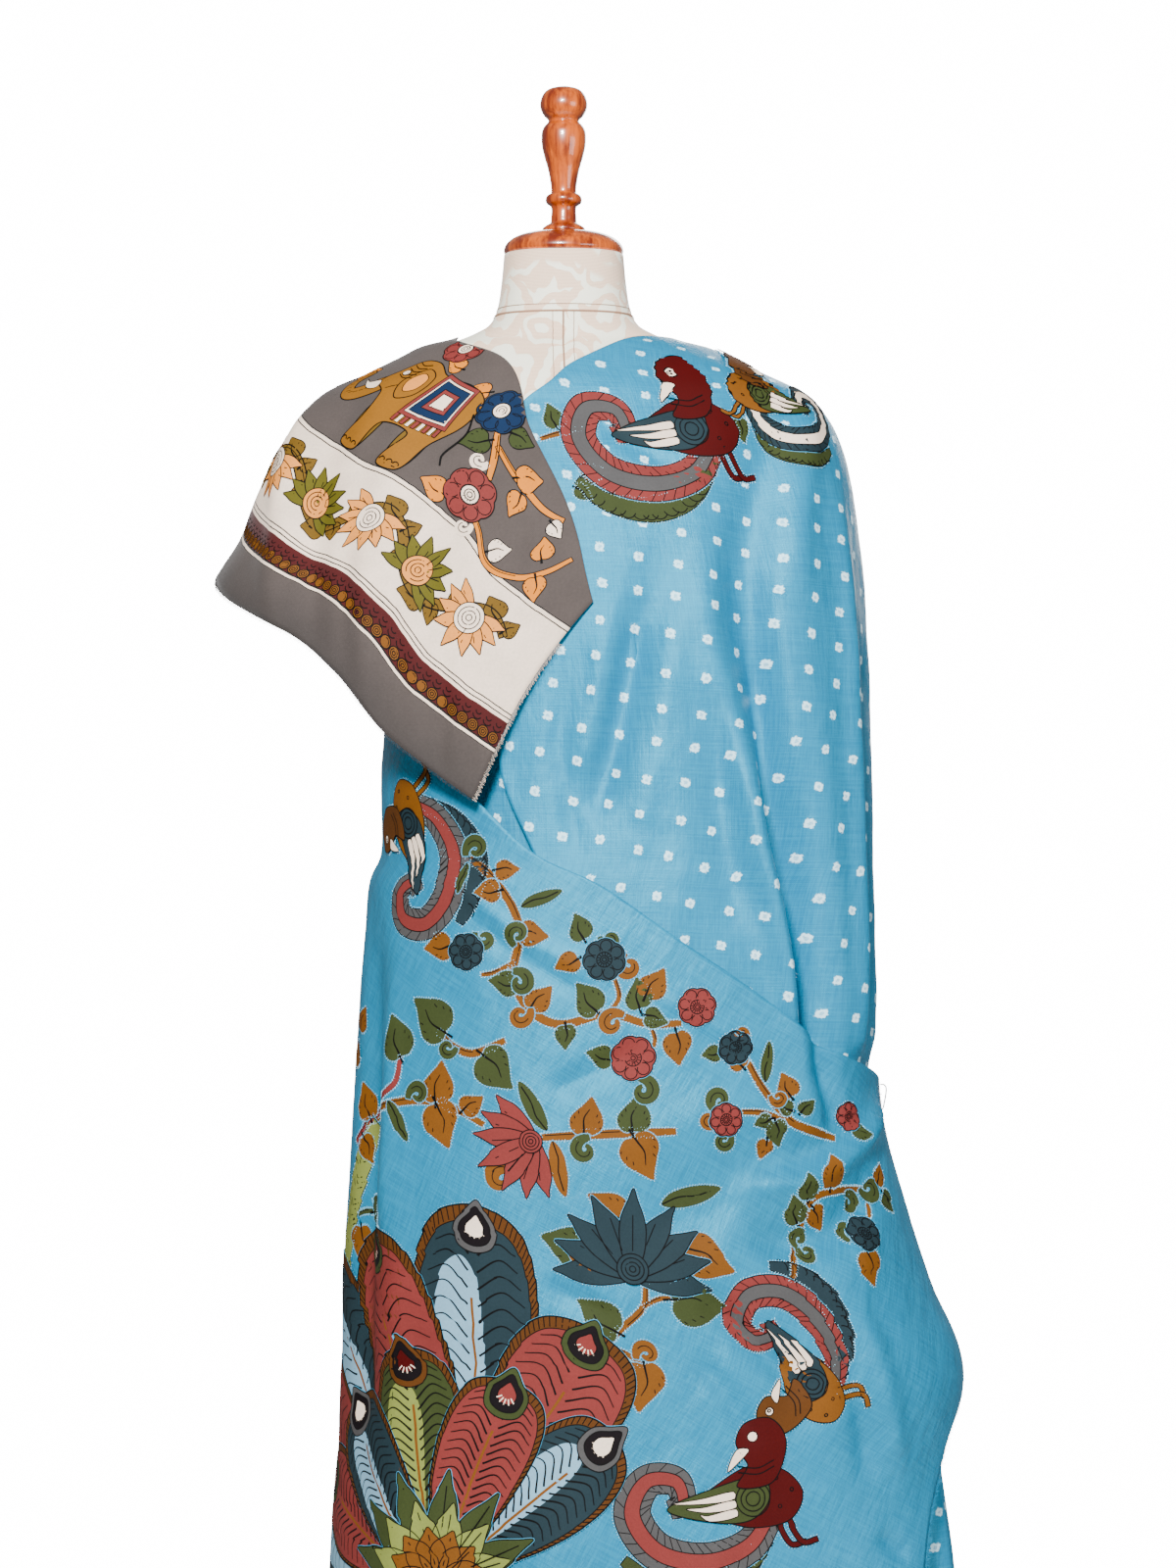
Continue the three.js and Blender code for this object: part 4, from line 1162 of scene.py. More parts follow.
def bird(size, head, breast, wing, tail, core, under="green"):
    """A folk bird that looks back, with a striped wing, and a rolled tail feather over a scalloped one."""
    drawn = Sketch()
    low = line_of([0.26 - 0.38j, -0.1 - 0.74j, -0.55 - 0.86j, -0.98 - 0.74j, -1.22 - 0.48j], size)
    scallops = strip(low, 0.26 * size * np.sin(np.linspace(0.5, 2.7, len(low))))
    drawn.fill(under, scallops)
    for share in np.linspace(0.08, 0.94, 15):
        at = low[int(share * (len(low) - 1))]
        drawn.pen(round_path(at - 0.02j * size, 0.085 * size, 200, 330, step=2), 0.9)
    back_path = line_of([0.3 - 0.24j, -0.52j, -0.45 - 0.6j, -0.88 - 0.44j, -1.06 - 0.06j, -0.88 + 0.24j,
                         -0.6 + 0.2j, -0.56 - 0.02j, -0.7 - 0.06j], size)
    drawn.add(plume(back_path, 0.38 * size, tail, core))
    drawn.level += 2
    for i in range(2):
        hip, foot = (0.32 + 0.1 * i - 0.28j) * size, (0.42 + 0.12 * i - 0.58j) * size
        drawn.fill(breast, strip(smooth_path([hip, foot, foot + 0.16 * size]), 0.055 * size))
    body = [-0.42 - 0.04j, -0.2 + 0.12j, 0.12 + 0.24j, 0.46 + 0.14j, 0.62 - 0.12j, 0.46 - 0.34j,
            0.1 - 0.36j, -0.2 - 0.24j]
    drawn.fill(breast, outline_of(body, size))
    for i in range(7):
        dot = (0.42 + 0.09 * np.cos(i * 2.1) + 1j * (-0.06 + 0.16 * np.sin(i * 2.1))) * size
        drawn.pen(round_path(dot, 0.018 * size, step=1.2), 0.7)
    folded = [0.24 + 0.12j, 0.28 - 0.12j, 0.06 - 0.28j, -0.3 - 0.24j, -0.72 - 0.06j, -0.36 + 0.06j]
    drawn.fill(wing, outline_of(folded, size), edge=False)
    for i in range(3):
        level = -0.01 - 0.085 * i
        feather = [-0.06 + 1j * (level + 0.03), -0.36 + 1j * (level + 0.01),
                   -0.66 + 0.12 * i + 1j * (level * 0.8), -0.34 + 1j * (level - 0.045),
                   -0.06 + 1j * (level - 0.04)]
        drawn.fill("cream", outline_of(feather, size), edge=False, pen=0.7)
    for ring in (0.07, 0.12, 0.17):
        drawn.pen(round_path((0.12 - 0.08j) * size, ring * size), 0.9)
    neck = 0.42 - np.conj([0.1 + 0.04j, -0.04 + 0.26j, -0.05 + 0.5j, 0.1 + 0.68j, 0.32 + 0.66j,
                           0.43 + 0.5j, 0.36 + 0.34j, 0.32 + 0.24j, 0.44 + 0.06j])
    drawn.fill(head, outline_of(neck, size))
    beak = 0.42 - np.conj([0.3 + 0.4j, 0.42 + 0.42j, 0.52 + 0.22j, 0.4 + 0.3j])
    drawn.fill("cream", outline_of(beak, size), pen=0.8)
    drawn.fill("cream", disc((0.16 + 0.52j) * size, 0.05 * size), edge=False, pen=0.9)
    drawn.pen(round_path((0.15 + 0.52j) * size, 0.018 * size, step=1), 1.3)
    for ring in (0.2, 0.26):
        drawn.pen(line_of([ring * 1j, 0.2 + (ring - 0.05) * 1j, 0.36 + ring * 1j], size), 0.9)
    return drawn


def fan_plume(length, wide, colour, light, tip, heart):
    """A broad plume from 0 along +X: rows of hooked barbs, an orange rib, a heart-shaped eye at its end."""
    shape = mirrored(0, [0.2 + 0.2j, 0.5 + 0.42j, 0.8 + 0.5j, 1.0 + 0.36j], 1.06)

    def blade(long, broad, shift=0.0):
        return outline_of(shape.real * long * length + 1j * (shape.imag * broad + shift) * wide)

    rim = blade(1.0, 1.0)
    drawn = Sketch().fill("brown", rim, pen=1.3)
    for p in rim[::2]:
        drawn.pen(np.array([p, complex(0.965 * p.real, 0.91 * p.imag)]), 0.9)
    drawn.fill(colour, blade(0.96, 0.9), edge=False, pen=0.8)
    drawn.fill(light, blade(0.86, 0.4, 0.12), edge=False, pen=0)
    for i in range(2, 21):
        share = i / 21
        half = 0.43 * wide * np.interp(share, [0, 0.2, 0.5, 0.8, 1], [0, 0.4, 0.84, 0.98, 0.7])
        base = share * 0.98 * length
        for s in (1, -1):
            hook = smooth_path([base - 0.1 * half + 0.1j * s * half, base + 0.25 * half + 0.55j * s * half,
                                base + 0.05 * half + 0.96j * s * half])
            drawn.pen(hook, np.linspace(1.7, 0.8, len(hook)))
    drawn.pen(np.linspace(0.1, 0.8, 20) * length, 2.2, "orange")
    eye = mirrored(-0.1, [0.06 + 0.42j, 0.5 + 0.5j, 0.86 + 0.24j], 1.12)
    for share, shade in ((0.62, tip), (0.46, "ink_cloth"), (0.27, heart)):
        drawn.fill(shade, outline_of(length + (eye - 0.5) * share * EYE_SIZE), edge=share > 0.6)
    for turn in (-50, -25, 0, 25, 50):
        drawn.pen(length + np.array([5, 10]) * turned_by(turn + 180), 1.0, "cream")
    return drawn


def elephant(size):
    """A folk elephant that walks to the left with its trunk curled up, in a tasselled saddlecloth."""
    drawn = Sketch()
    for foot in (-0.3, 0.18):
        leg = [foot - 0.06, foot - 0.07 - 0.52j, foot + 0.12 - 0.52j, foot + 0.12 - 0.05j]
        drawn.fill("olive", outline_of(leg, size), edge=False, pen=1.1)
    trunk = line_of([-0.46 + 0.12j, -0.62 - 0.1j, -0.76 - 0.2j, -0.88 - 0.08j, -0.84 + 0.1j], size)
    drawn.fill("ochre", strip(trunk, np.linspace(0.2, 0.08, len(trunk)) * size), edge=False, pen=1.1)
    for i in range(3, len(trunk) - 2, 2):
        drawn.pen(np.array([trunk[i] - 0.03 * size, trunk[i] + 0.03j * size]), 0.7)
    outline = [-0.56 + 0.2j, -0.58 + 0.02j, -0.44 - 0.06j, -0.38 - 0.3j, -0.4 - 0.56j, -0.2 - 0.56j,
               -0.16 - 0.26j, 0.12 - 0.24j, 0.08 - 0.56j, 0.28 - 0.56j, 0.34 - 0.24j, 0.46 + 0.04j,
               0.4 + 0.3j, 0.14 + 0.4j, -0.14 + 0.38j, -0.34 + 0.44j, -0.5 + 0.38j]
    drawn.fill("ochre", outline_of(outline, size), edge=False, pen=1.2)
    tusk = [-0.58 + 0.04j, -0.68 - 0.02j, -0.76, -0.64 - 0.08j, -0.54 - 0.04j]
    drawn.fill("cream", outline_of(tusk, size), edge=False)
    ear = np.array([-0.34 + 0.34j, -0.2 + 0.3j, -0.17 + 0.08j, -0.28 - 0.04j, -0.39 + 0.12j])
    drawn.fill("ochre", outline_of(ear, size), edge=False, pen=1.1)
    drawn.fill("peach", outline_of(ear * 0.62 - 0.11 + 0.07j, size), edge=False, pen=0.8)
    cloth = np.array([-0.12 + 0.41j, 0.26 + 0.38j, 0.36 - 0.08j, -0.12 - 0.12j])
    for share, shade in ((1.0, "coral"), (0.84, "cream"), (0.74, "navy"), (0.46, "coral"), (0.3, "cream")):
        corners = cloth.mean() + (cloth - cloth.mean()) * share
        sides = np.concatenate([np.linspace(corners[i], corners[(i + 1) % 4], 8)[:-1] for i in range(4)])
        drawn.fill(shade, sides * size, edge=False)
    for i in range(9):
        low = (-0.1 + 0.052 * i - 0.12j + 0.004j * i) * size
        tassel = strip(low + np.linspace(0, -0.08j, 5) * size, 0.035 * size)
        drawn.fill("cream" if i % 2 else "coral", tassel, edge=False, pen=0.7)
    drawn.pen(line_of([0.44 + 0.16j, 0.54 - 0.02j, 0.5 - 0.26j, 0.54 - 0.34j], size), 1.6)
    brow = np.array([-0.5 + 0.36j, -0.42 + 0.34j, -0.36 + 0.38j])
    for i in range(5):
        drawn.pen(line_of(brow - 0.05j * i, size), 0.8)
    drawn.fill("cream", disc((-0.46 + 0.2j) * size, 0.035 * size), edge=False, pen=0.9)
    drawn.pen(round_path((-0.46 + 0.2j) * size, 0.012 * size, step=0.8), 1.2)
    for x in (-0.37, -0.3, -0.23, 0.12, 0.19, 0.25):
        drawn.pen(round_path((x - 0.53j) * size, 0.025 * size, 0, 180, step=1), 0.8)
    return drawn


# %% Laying shapes on cloth
RISE, LAYER = 0.5, 0.11
INSIDE_STEP = 5.0
ANGLES = np.linspace(FIRST_ANGLE, LAST_ANGLE, 541)


class Canvas:
    """A cloth to draw on, through the body that it lies on."""

    def __init__(self, name, body, slot):
        grid = grids[name]
        self.name, self.body, self.slot = name, body, slot
        faces = grid_faces(*grid.shape[:2], ring=name == "form_body")
        self.tree = BVHTree.FromPolygons(grid.reshape(-1, 3).tolist(), faces.tolist())
        self.rows = np.linspace(0, body.last, 90)
        self.arcs = arc_of(body, ANGLES[None, :], self.rows[:, None])
        self.cut = {}
        self.edges = []

    def looked_at(self, spot):
        """What the camera's ray through a spot of the picture meets: its place and its face."""
        eye = CAMERA / MM
        for inwards in range(0, 60, 2):
            x = spot.real - inwards * np.sign(spot.real)
            hit, _, face, _ = self.tree.ray_cast(eye, Vector((x, 0, spot.imag)) - eye)
            if hit is not None:
                return hit, face
        raise ValueError(f"{self.name} isn't seen near {spot}")

    def seen(self, spot):
        """The place on the cloth that the camera sees at a spot of the picture (x + z j, in mm)."""
        hit, _ = self.looked_at(spot)
        row = float(self.body.row_at(hit.z))
        ring = self.body.point(ANGLES, np.full(len(ANGLES), row))
        near = np.argmin(np.hypot(ring[:, 0] - hit.x, ring[:, 1] - hit.y) + 0.001 * np.abs(ANGLES - 200))
        return complex(arc_of(self.body, ANGLES[near], row), hit.z)

    def lay(self, places, rise):
        """Points of the cloth, raised, and whether each is on it."""
        rows = self.body.row_at(places.imag)
        last = len(self.rows) - 1
        level = np.clip(np.round(rows / self.body.last * last).astype(int), 0, last)
        deg = np.empty(len(places))
        for i in np.unique(level):
            chosen = level == i
            deg[chosen] = np.interp(places.real[chosen], self.arcs[i], ANGLES)
        start, out = self.body.point(deg, rows), self.body.normal(deg, rows)
        spots, on = start.copy(), np.zeros(len(places), bool)
        for i, (p, n) in enumerate(zip((start + out * 40).tolist(), (-out).tolist())):
            hit, normal, _, _ = self.tree.ray_cast(p, n, 90)
            if hit is not None:
                on[i] = True
                spots[i] = hit
        return spots + out * rise, on

    def draw(self, sketch, at=0j, turn=0.0, over=0, flip=False):
        for kind, colour, path, wide, level in sketch.moved(at, turn, flip).marks:
            if colour == "thread":
                self.edges.append(path)
            if kind == "fill":
                flat, faces = filled_shape(path)
            else:
                flat, last = strip(path, wide), 2 * len(path) - 1
                faces = [(i, i + 1, last - 1 - i, last - i) for i in range(len(path) - 1)]
            spots, on = self.lay(flat, RISE + LAYER * (level + over))
            verts, all_faces, places = self.cut.setdefault(colour, ([], [], []))
            start = sum(len(v) for v in verts)
            verts.append(spots)
            all_faces += [tuple(start + k for k in f) for f in faces if all(on[list(f)])]
            places.append(flat)

    def finish(self):
        made = []
        for colour, (verts, faces, places) in self.cut.items():
            flat = np.concatenate(places)
            uvs = np.stack([flat.real, flat.imag], -1)
            piece = mesh_object(f"{self.name}_{colour}", np.concatenate(verts), faces, uvs)
            piece.data.materials.append(paints[colour])
            made.append(piece)
            print(piece.name, len(faces), "faces")
        return made


def filled_shape(outline):
    """Triangles inside an outline, small enough to follow the cloth."""
    low, high = outline.real.min() + 1j * outline.imag.min(), outline.real.max() + 1j * outline.imag.max()
    across = np.arange(low.real + 1.5, high.real, INSIDE_STEP)
    upward = np.arange(low.imag + 1.5, high.imag, INSIDE_STEP)
    inner = (across[None, :] + 1j * upward[:, None]).ravel()
    ends = np.roll(outline, -1)
    crossing = (outline.imag[:, None] > inner.imag) != (ends.imag[:, None] > inner.imag)
    rise = np.where(ends.imag == outline.imag, 1e-9, ends.imag - outline.imag)
    share = (inner.imag - outline.imag[:, None]) / rise[:, None]
    where = outline.real[:, None] + share * (ends - outline).real[:, None]
    odd = (crossing & (inner.real < where)).sum(0) % 2 == 1
    far = np.abs(inner[:, None] - outline[None, :]).min(1) > 1.6
    points = np.concatenate([outline, inner[odd & far]])
    pairs = [Vector((p.real, p.imag)) for p in points]
    made = geometry.delaunay_2d_cdt(pairs, [], [list(range(len(outline)))], 1, 1e-5)
    return np.array([complex(*v) for v in made[0]]), [tuple(f) for f in made[2]]


# %% [markdown]
# Where the applique goes. A spot is (x, z) in millimetres in the picture's plane, and each shape is laid
# on the cloth that shows there. The lower part, the left side and the back, which the picture doesn't
# show, get the same kinds of shape at the same spacing, placed round the cloth instead.

# %% Applique on the front wrap
front = Canvas("saree_front_wrap", silk, "saree_silk")

ROSETTES = [  # x, z, radius, colour
    (-84, 867, 15.5, "slate"), (33, 860, 17.5, "slate"), (116, 819, 16, "coral"), (58, 775, 18.5, "coral"),
    (149, 784, 14, "slate"), (140, 721, 14, "coral"), (246, 724, 12.5, "coral"), (261, 622, 15, "slate"),
]
STEMS = [  # colour, width, path
    ("orange", 6.5, [(-107, 953), (-78, 946), (-52, 918), (-40, 886), (-43, 846), (-28, 816), (-1, 804),
                     (40, 813), (73, 804), (100, 805)]),
    ("orange", 3.6, [(-73, 847), (-58, 849), (-44, 858)]),
    ("orange", 3.6, [(46, 845), (47, 827), (38, 814)]),
    ("orange", 3.2, [(73, 804), (78, 790), (72, 778)]),
    ("orange", 6, [(158, 771), (170, 751), (186, 730), (202, 717), (234, 705)]),
    ("orange", 4.5, [(153, 728), (172, 727), (189, 721)]),
    ("orange", 6, [(-108, 798), (-96, 785), (-77, 779), (-49, 790)]),
    ("coral", 5, [(-179, 702), (-166, 722), (-149, 751), (-140, 778)]),
    ("orange", 6, [(-172, 720), (-158, 732), (-134, 738), (-112, 737), (-86, 728), (-71, 717)]),
    ("orange", 6.5, [(-17, 706), (18, 708), (64, 710), (98, 711)]),
    ("orange", 5, [(198, 581), (201, 624), (213, 651), (237, 660), (262, 662)]),
    ("orange", 3.2, [(258, 662), (263, 648), (264, 636)]),
    ("orange", 5, [(72, 578), (71, 559), (49, 537), (33, 521)]),
    ("orange", 3.6, [(71, 559), (84, 566), (97, 566)]),
    ("orange", 4, [(33, 523), (52, 520), (68, 508)]),
    ("green", 4, [(-178, 640), (-170, 643), (-162, 642)]),
]
LEAVES = [  # stalk x, z, length, turn, colour
    (-60, 937, 22, 3, "orange"), (-56, 920, 24, 185, "orange"), (-37, 884, 27, -8, "orange"),
    (-98, 873, 30, 188, "orange"), (-41, 838, 27, 172, "green"), (-27, 818, 27, 48, "orange"),
    (16, 878, 25, 112, "green"), (11, 861, 23, 205, "orange"), (29, 815, 32, 128, "green"),
    (64, 818, 28, 98, "green"), (72, 828, 30, 58, "orange"), (72, 812, 22, -18, "green"),
    (0, 803, 22, -88, "green"), (40, 774, 24, 165, "green"), (97, 797, 30, -82, "orange"),
    (136, 780, 18, 190, "green"), (156, 767, 22, 128, "orange"), (197, 741, 24, 112, "orange"),
    (198, 729, 17, 150, "green"), (206, 727, 17, 42, "green"), (178, 722, 17, 200, "green"),
    (184, 720, 24, -78, "green"), (175, 704, 19, -110, "orange"), (250, 712, 20, -20, "green"),
    (-103, 797, 46, 140, "green"), (-70, 778, 42, -45, "green"), (-142, 776, 40, 108, "green"),
    (-112, 737, 38, 82, "orange"), (-112, 736, 42, -72, "orange"), (-166, 724, 34, 110, "orange"),
    (-86, 729, 24, 35, "orange"), (-174, 708, 27, -65, "orange"), (18, 709, 34, 78, "orange"),
    (62, 711, 34, 82, "green"), (62, 707, 42, -68, "orange"), (212, 652, 24, 85, "green"),
    (231, 662, 30, 82, "orange"), (203, 632, 26, 100, "green"), (214, 645, 24, -60, "orange"),
    (272, 664, 22, 60, "orange"), (276, 657, 22, -60, "green"), (264, 606, 32, -86, "orange"),
    (52, 634, 38, 142, "orange"), (20, 604, 44, 158, "green"), (106, 610, 46, -28, "orange"),
    (96, 565, 50, -8, "green"), (49, 537, 42, 138, "green"), (70, 510, 44, -100, "orange"),
    (-164, 642, 36, 5, "green"), (-176, 630, 36, -90, "orange"), (-176, 800, 26, 60, "orange"),
    (-181, 768, 26, 80, "orange"), (-160, 452, 24, -20, "green"), (-172, 420, 24, -100, "orange"),
    (-160, 432, 22, 100, "green"),
]
LONG_LEAVES = [
    (-82, 944, 26, -100, "green"), (-36, 906, 36, 20, "green"), (176, 754, 34, 84, "green"),
    (-14, 712, 46, 118, "green"), (-10, 703, 46, -84, "orange"), (-152, 738, 38, -62, "green"),
    (84, 648, 52, 12, "green"),
]
CURLS = [  # x, z, size, turn, 1 if flipped, colour
    (-84, 950, 24, 20, 0, "green"), (-77, 884, 20, -20, 1, "green"), (-42, 872, 22, 60, 0, "green"),
    (-42, 850, 24, -70, 0, "green"), (-29, 818, 22, 200, 0, "orange"), (30, 880, 18, 0, 1, "green"),
    (52, 866, 24, -60, 1, "orange"), (50, 812, 24, 230, 1, "orange"), (146, 796, 18, 10, 1, "orange"),
    (180, 742, 16, 0, 1, "orange"), (130, 728, 22, 60, 0, "green"), (132, 716, 16, 130, 0, "orange"),
    (146, 708, 18, 200, 0, "green"), (62, 758, 26, -80, 0, "green"), (-92, 784, 18, 170, 0, "green"),
    (-136, 740, 22, 10, 0, "green"), (-40, 672, 30, 200, 1, "orange"), (24, 706, 24, -100, 1, "green"),
    (256, 662, 24, 10, 1, "green"), (244, 658, 20, -70, 0, "green"), (248, 616, 18, 60, 0, "green"),
    (200, 612, 18, 50, 0, "green"), (200, 612, 18, -20, 1, "green"), (22, 590, 28, 130, 1, "orange"),
    (34, 520, 28, 180, 1, "green"), (64, 514, 22, 10, 0, "orange"),
]


def spot(x, z):
    return front.seen(complex(x, z))


for colour, wide, path in STEMS:
    front.draw(stem(smooth_path([spot(*p) for p in path]), wide, colour))
for x, z, length, turn, colour in LEAVES:
    front.draw(leaf(0.92 * length, colour), spot(x, z), turn, over=1.3)
for x, z, length, turn, colour in LONG_LEAVES:
    front.draw(long_leaf(length, colour), spot(x, z), turn, over=2.6)
for x, z, size, turn, flip, colour in CURLS:
    front.draw(curl(size, colour), spot(x, z), turn, over=3.9, flip=flip)
for x, z, radius, colour in ROSETTES:
    front.draw(rosette(radius, colour), spot(x, z), turn=x, over=5.4)
front.draw(lotus(56, "coral", 7, 130), spot(-22, 705), turn=205, over=3)
front.draw(lotus(74, "slate", 9, 170), spot(62, 584), turn=82, over=3)
hanging_bird = bird(70, "brown", "orange", "slate", "coral", "grey", "slate")
front.draw(hanging_bird, spot(206, 498), turn=-64, flip=True)
front.draw(bird(84, "red", "red", "green", "grey", "coral", "green"), spot(152, 398), turn=8, over=2)
front.draw(bird(76, "brown", "orange", "slate", "grey", "coral", "slate"), spot(-134, 968), turn=112)

FAN = spot(-110, 322)
SHADES = (("coral", "coral", "green", "coral"), ("slate", "pale_blue", "grey", "cream"),
          ("green", "pale_green", "brown", "red"))
fan = Sketch()
OUTER = ((172, 285), (149, 271), (126, 285), (103, 274), (80, 296), (57, 236))
INNER = ((160, 180), (130, 166), (100, 180), (70, 166), (40, 180))
for tier, wide, plumes, first in ((0, 108, OUTER, 1), (7, 84, INNER, 0)):
    for i, (turn, reach) in enumerate(plumes):
        plume_drawn = fan_plume(reach, wide, *SHADES[(i + first) % (3 if tier else 2)])
        fan.level = tier + 3 * (i % 2)
        fan.add(plume_drawn.moved(turn=turn))
fan.level = 14
for reach, colour in ((92, "green"), (66, "pale_green"), (44, "orange")):
    leaves = Sketch()
    for turn in range(2, 180, 29):
        leaves.fill(colour, petal(reach, 26) * turned_by(turn + reach / 4), edge=reach > 90)
        leaves.pen(np.array([0.3, 0.85]) * reach * turned_by(turn + reach / 4), 1.0)
        leaves.level = 0
    fan.add(leaves)
    fan.level += 2
front.draw(fan, FAN, over=5)
sprig = line_of([-60 - 20j, -128 + 50j, -150 + 150j, -128 + 250j, -92 + 330j, -70 + 372j]) + FAN
front.draw(stem(sprig, 22, "pale_green", pen=1.0))
way = np.gradient(sprig) / np.abs(np.gradient(sprig))
barbs = Sketch()
for i in range(4, len(sprig) - 4, 2):
    for side in (1, -1):
        barbs.pen(smooth_path(sprig[i] + way[i] * np.array([0, 3 + 4j * side, 8 + 9j * side])), 1.0)
barbs.level = 3
front.draw(barbs)

LOW_ROWS = [(270, 0), (150, 40)]
for up, shift in LOW_ROWS:
    for i, along in enumerate(range(-400 + shift, 260, 80)):
        colour = ("coral", "slate")[i % 2]
        where = complex(along, up + 14 * (-1) ** i)
        if up > 200 and -420 < along < 60:
            continue
        front.draw(stem(smooth_path([where - 40 + 12j, where - 15 + 24j, where + 14j]), 5, "orange"))
        front.draw(rosette(17, colour), where)
        front.draw(leaf(30, "green"), where + 22 + 12j, 30 + 40 * (i % 3))
        front.draw(leaf(30, "orange"), where - 22 + 18j, 120 - 40 * (i % 3))
for i, up in enumerate(range(320, 980, 66)):
    where = complex(-470 + 16 * (-1) ** i, up)
    front.draw(stem(smooth_path([where - 33j, where + 4, where + 33j]), 5, "orange"))
    front.draw(rosette(15, ("slate", "coral")[i % 2]), where + 34 - 6j)
    front.draw(leaf(30, "orange"), where + 4 + 10j, 60)
    front.draw(leaf(34, "green"), where - 4 - 4j, 170 - 20 * (i % 3))

# %% Applique on the chest
neckline = Canvas("saree_chest_stretch", silk, "saree_silk")
neckline.draw(bird(82, "red", "red", "slate", "coral", "grey"), neckline.seen(100 + 1326j), turn=6)
shoulder_bird = bird(56, "brown", "orange", "green", "slate", "cream")
neckline.draw(shoulder_bird, neckline.seen(176 + 1352j), turn=160, over=3, flip=True)
neckline.draw(leaf(20, "green"), neckline.seen(150 + 1330j), -80)
neckline.draw(leaf(22, "green"), neckline.seen(-4 + 1322j), 100)
twig = [neckline.seen(place) for place in (-22 + 1312j, 1318j, 18 + 1322j)]
neckline.draw(stem(smooth_path(twig), 4, "orange"))
neckline.draw(leaf(20, "orange"), neckline.seen(18 + 1280j), 20)
neckline.draw(leaf(16, "green"), neckline.seen(8 + 1270j), -40)

# %% [markdown]
# The blouse piece is printed in bands along its hem, so its places are (along the hem, up from it). The
# material paints the bands, the vine and the animals are drawn on it, thin as print is.

# %% Print on the blouse piece
class Print(Canvas):
    """The blouse piece, with places measured along its hem and up from it."""

    def __init__(self, name, body, slot):
        super().__init__(name, body, slot)
        self.grid = grids[name]
        self.normals = normals_of(self.grid)
        steps = np.linalg.norm(np.diff(self.grid[::-1], axis=0), axis=-1)
        self.up = np.concatenate([np.zeros((1, self.grid.shape[1])), np.cumsum(steps, axis=0)])[::-1]
        level = self.grid[int(self.grid.shape[0] * 0.62)]
        self.along = np.concatenate([[0], np.cumsum(np.linalg.norm(np.diff(level, axis=0), axis=-1))])

    def seen(self, spot):
        _, face = self.looked_at(spot)
        row, column = divmod(face, self.grid.shape[1] - 1)
        return complex(self.along[column], self.up[row, column])

    def draw(self, sketch, *where, **more):
        plain = Sketch()
        plain.marks = [mark for mark in sketch.marks if mark[1] != "thread"]
        super().draw(plain, *where, **more)

    def lay(self, places, rise):
        rows, columns = self.grid.shape[:2]
        column = np.interp(places.real, self.along, np.arange(columns))
        i = np.clip(column.astype(int), 0, columns - 2)
        share = column - i
        row = np.empty(len(places))
        for k, (a, b, d) in enumerate(zip(i, share, places.imag)):
            heights = self.up[:, a] * (1 - b) + self.up[:, a + 1] * b
            row[k] = np.interp(-d, -heights, np.arange(rows))
        j = np.clip(row.astype(int), 0, rows - 2)
        down = (row - j)[:, None]
        share = share[:, None]

        def between(table):
            return ((1 - down) * ((1 - share) * table[j, i] + share * table[j, i + 1])
                    + down * ((1 - share) * table[j + 1, i] + share * table[j + 1, i + 1]))

        on = (places.real > 0.5) & (places.real < self.along[-1] - 0.5)
        on = on & (places.imag > 0) & (places.imag < self.up[0, i] - 0.5)
        return between(self.grid) + between(self.normals) * (rise * 0.5), on


printed = Print("blouse_piece", cape, "blouse_cloth")
LENGTH = float(printed.along[-1])
print("hem", round(LENGTH), "mm; depth", round(float(printed.up[0].max())))
layer = pieces["blouse_piece"].data.uv_layers.new(name="band")
flat = np.stack([np.broadcast_to(printed.along, printed.up.shape), printed.up], -1).reshape(-1, 2) * MM
corners = np.empty(len(pieces["blouse_piece"].data.loops), dtype=np.int32)
pieces["blouse_piece"].data.loops.foreach_get("vertex_index", corners)
layer.data.foreach_set("uv", flat[corners % len(flat)].astype(np.float32).ravel())

HEM, WHITE, RED, CREAM = 43, 2.5, 22, 96  # widths of the bands, from the hem up, in millimetres
RED_FOOT = HEM + WHITE + 1.5
CREAM_FOOT = RED_FOOT + RED
FIELD_FOOT = CREAM_FOOT + CREAM
RING = 5.2
for i in range(int(LENGTH / (2 * RING))):
    centre = complex((2 * i + 1) * RING, RED_FOOT + RING)
    ring = Sketch().fill("orange", round_path(centre, RING - 0.3)[:-1], edge=False, pen=0.9)
    ring.pen(round_path(centre, 0.62 * RING), 0.8).pen(round_path(centre, 0.28 * RING), 0.8)
    ring.pen(round_path(centre + 1.9j * RING, 0.8 * RING, 200, 340), 0.9)
    ring.pen(round_path(centre + 2.4j * RING, 0.5 * RING, 190, 350), 0.8)
    printed.draw(ring)

WAVE, SWING = 128, 19
middle = CREAM_FOOT + CREAM / 2
VINE_END = LENGTH - 42


def vine(s):
    return s + 1j * (middle + SWING * np.sin(2 * np.pi * (VINE_END - s) / WAVE + 0.4))


printed.draw(stem(vine(np.arange(4, VINE_END, 2.6)), 9, "olive", pen=1.2))
for i in range(int(VINE_END / (WAVE / 2))):
    s = VINE_END - (i + 0.55) * WAVE / 2
    crest = vine(s).imag > middle
    colour, eye = ("peach", "cream") if crest else ("olive_green", "peach")
    base = vine(s) + (-8j if crest else 8j)
    printed.draw(lotus(37, colour, 9, 210, eye, 0.34, 0.36), base, turn=-100 if crest else 80, over=3)
    for step, turn in ((-22, 40), (20, 150)):
        spot_on = vine(s + step)
        printed.draw(leaf(23, "olive", 0.5, pen=0.9), spot_on, turn if crest else -turn)
    printed.draw(leaf(17, "olive", 0.46, pen=0.9), vine(s + 30), 60 if crest else -60)
print("bands drawn")

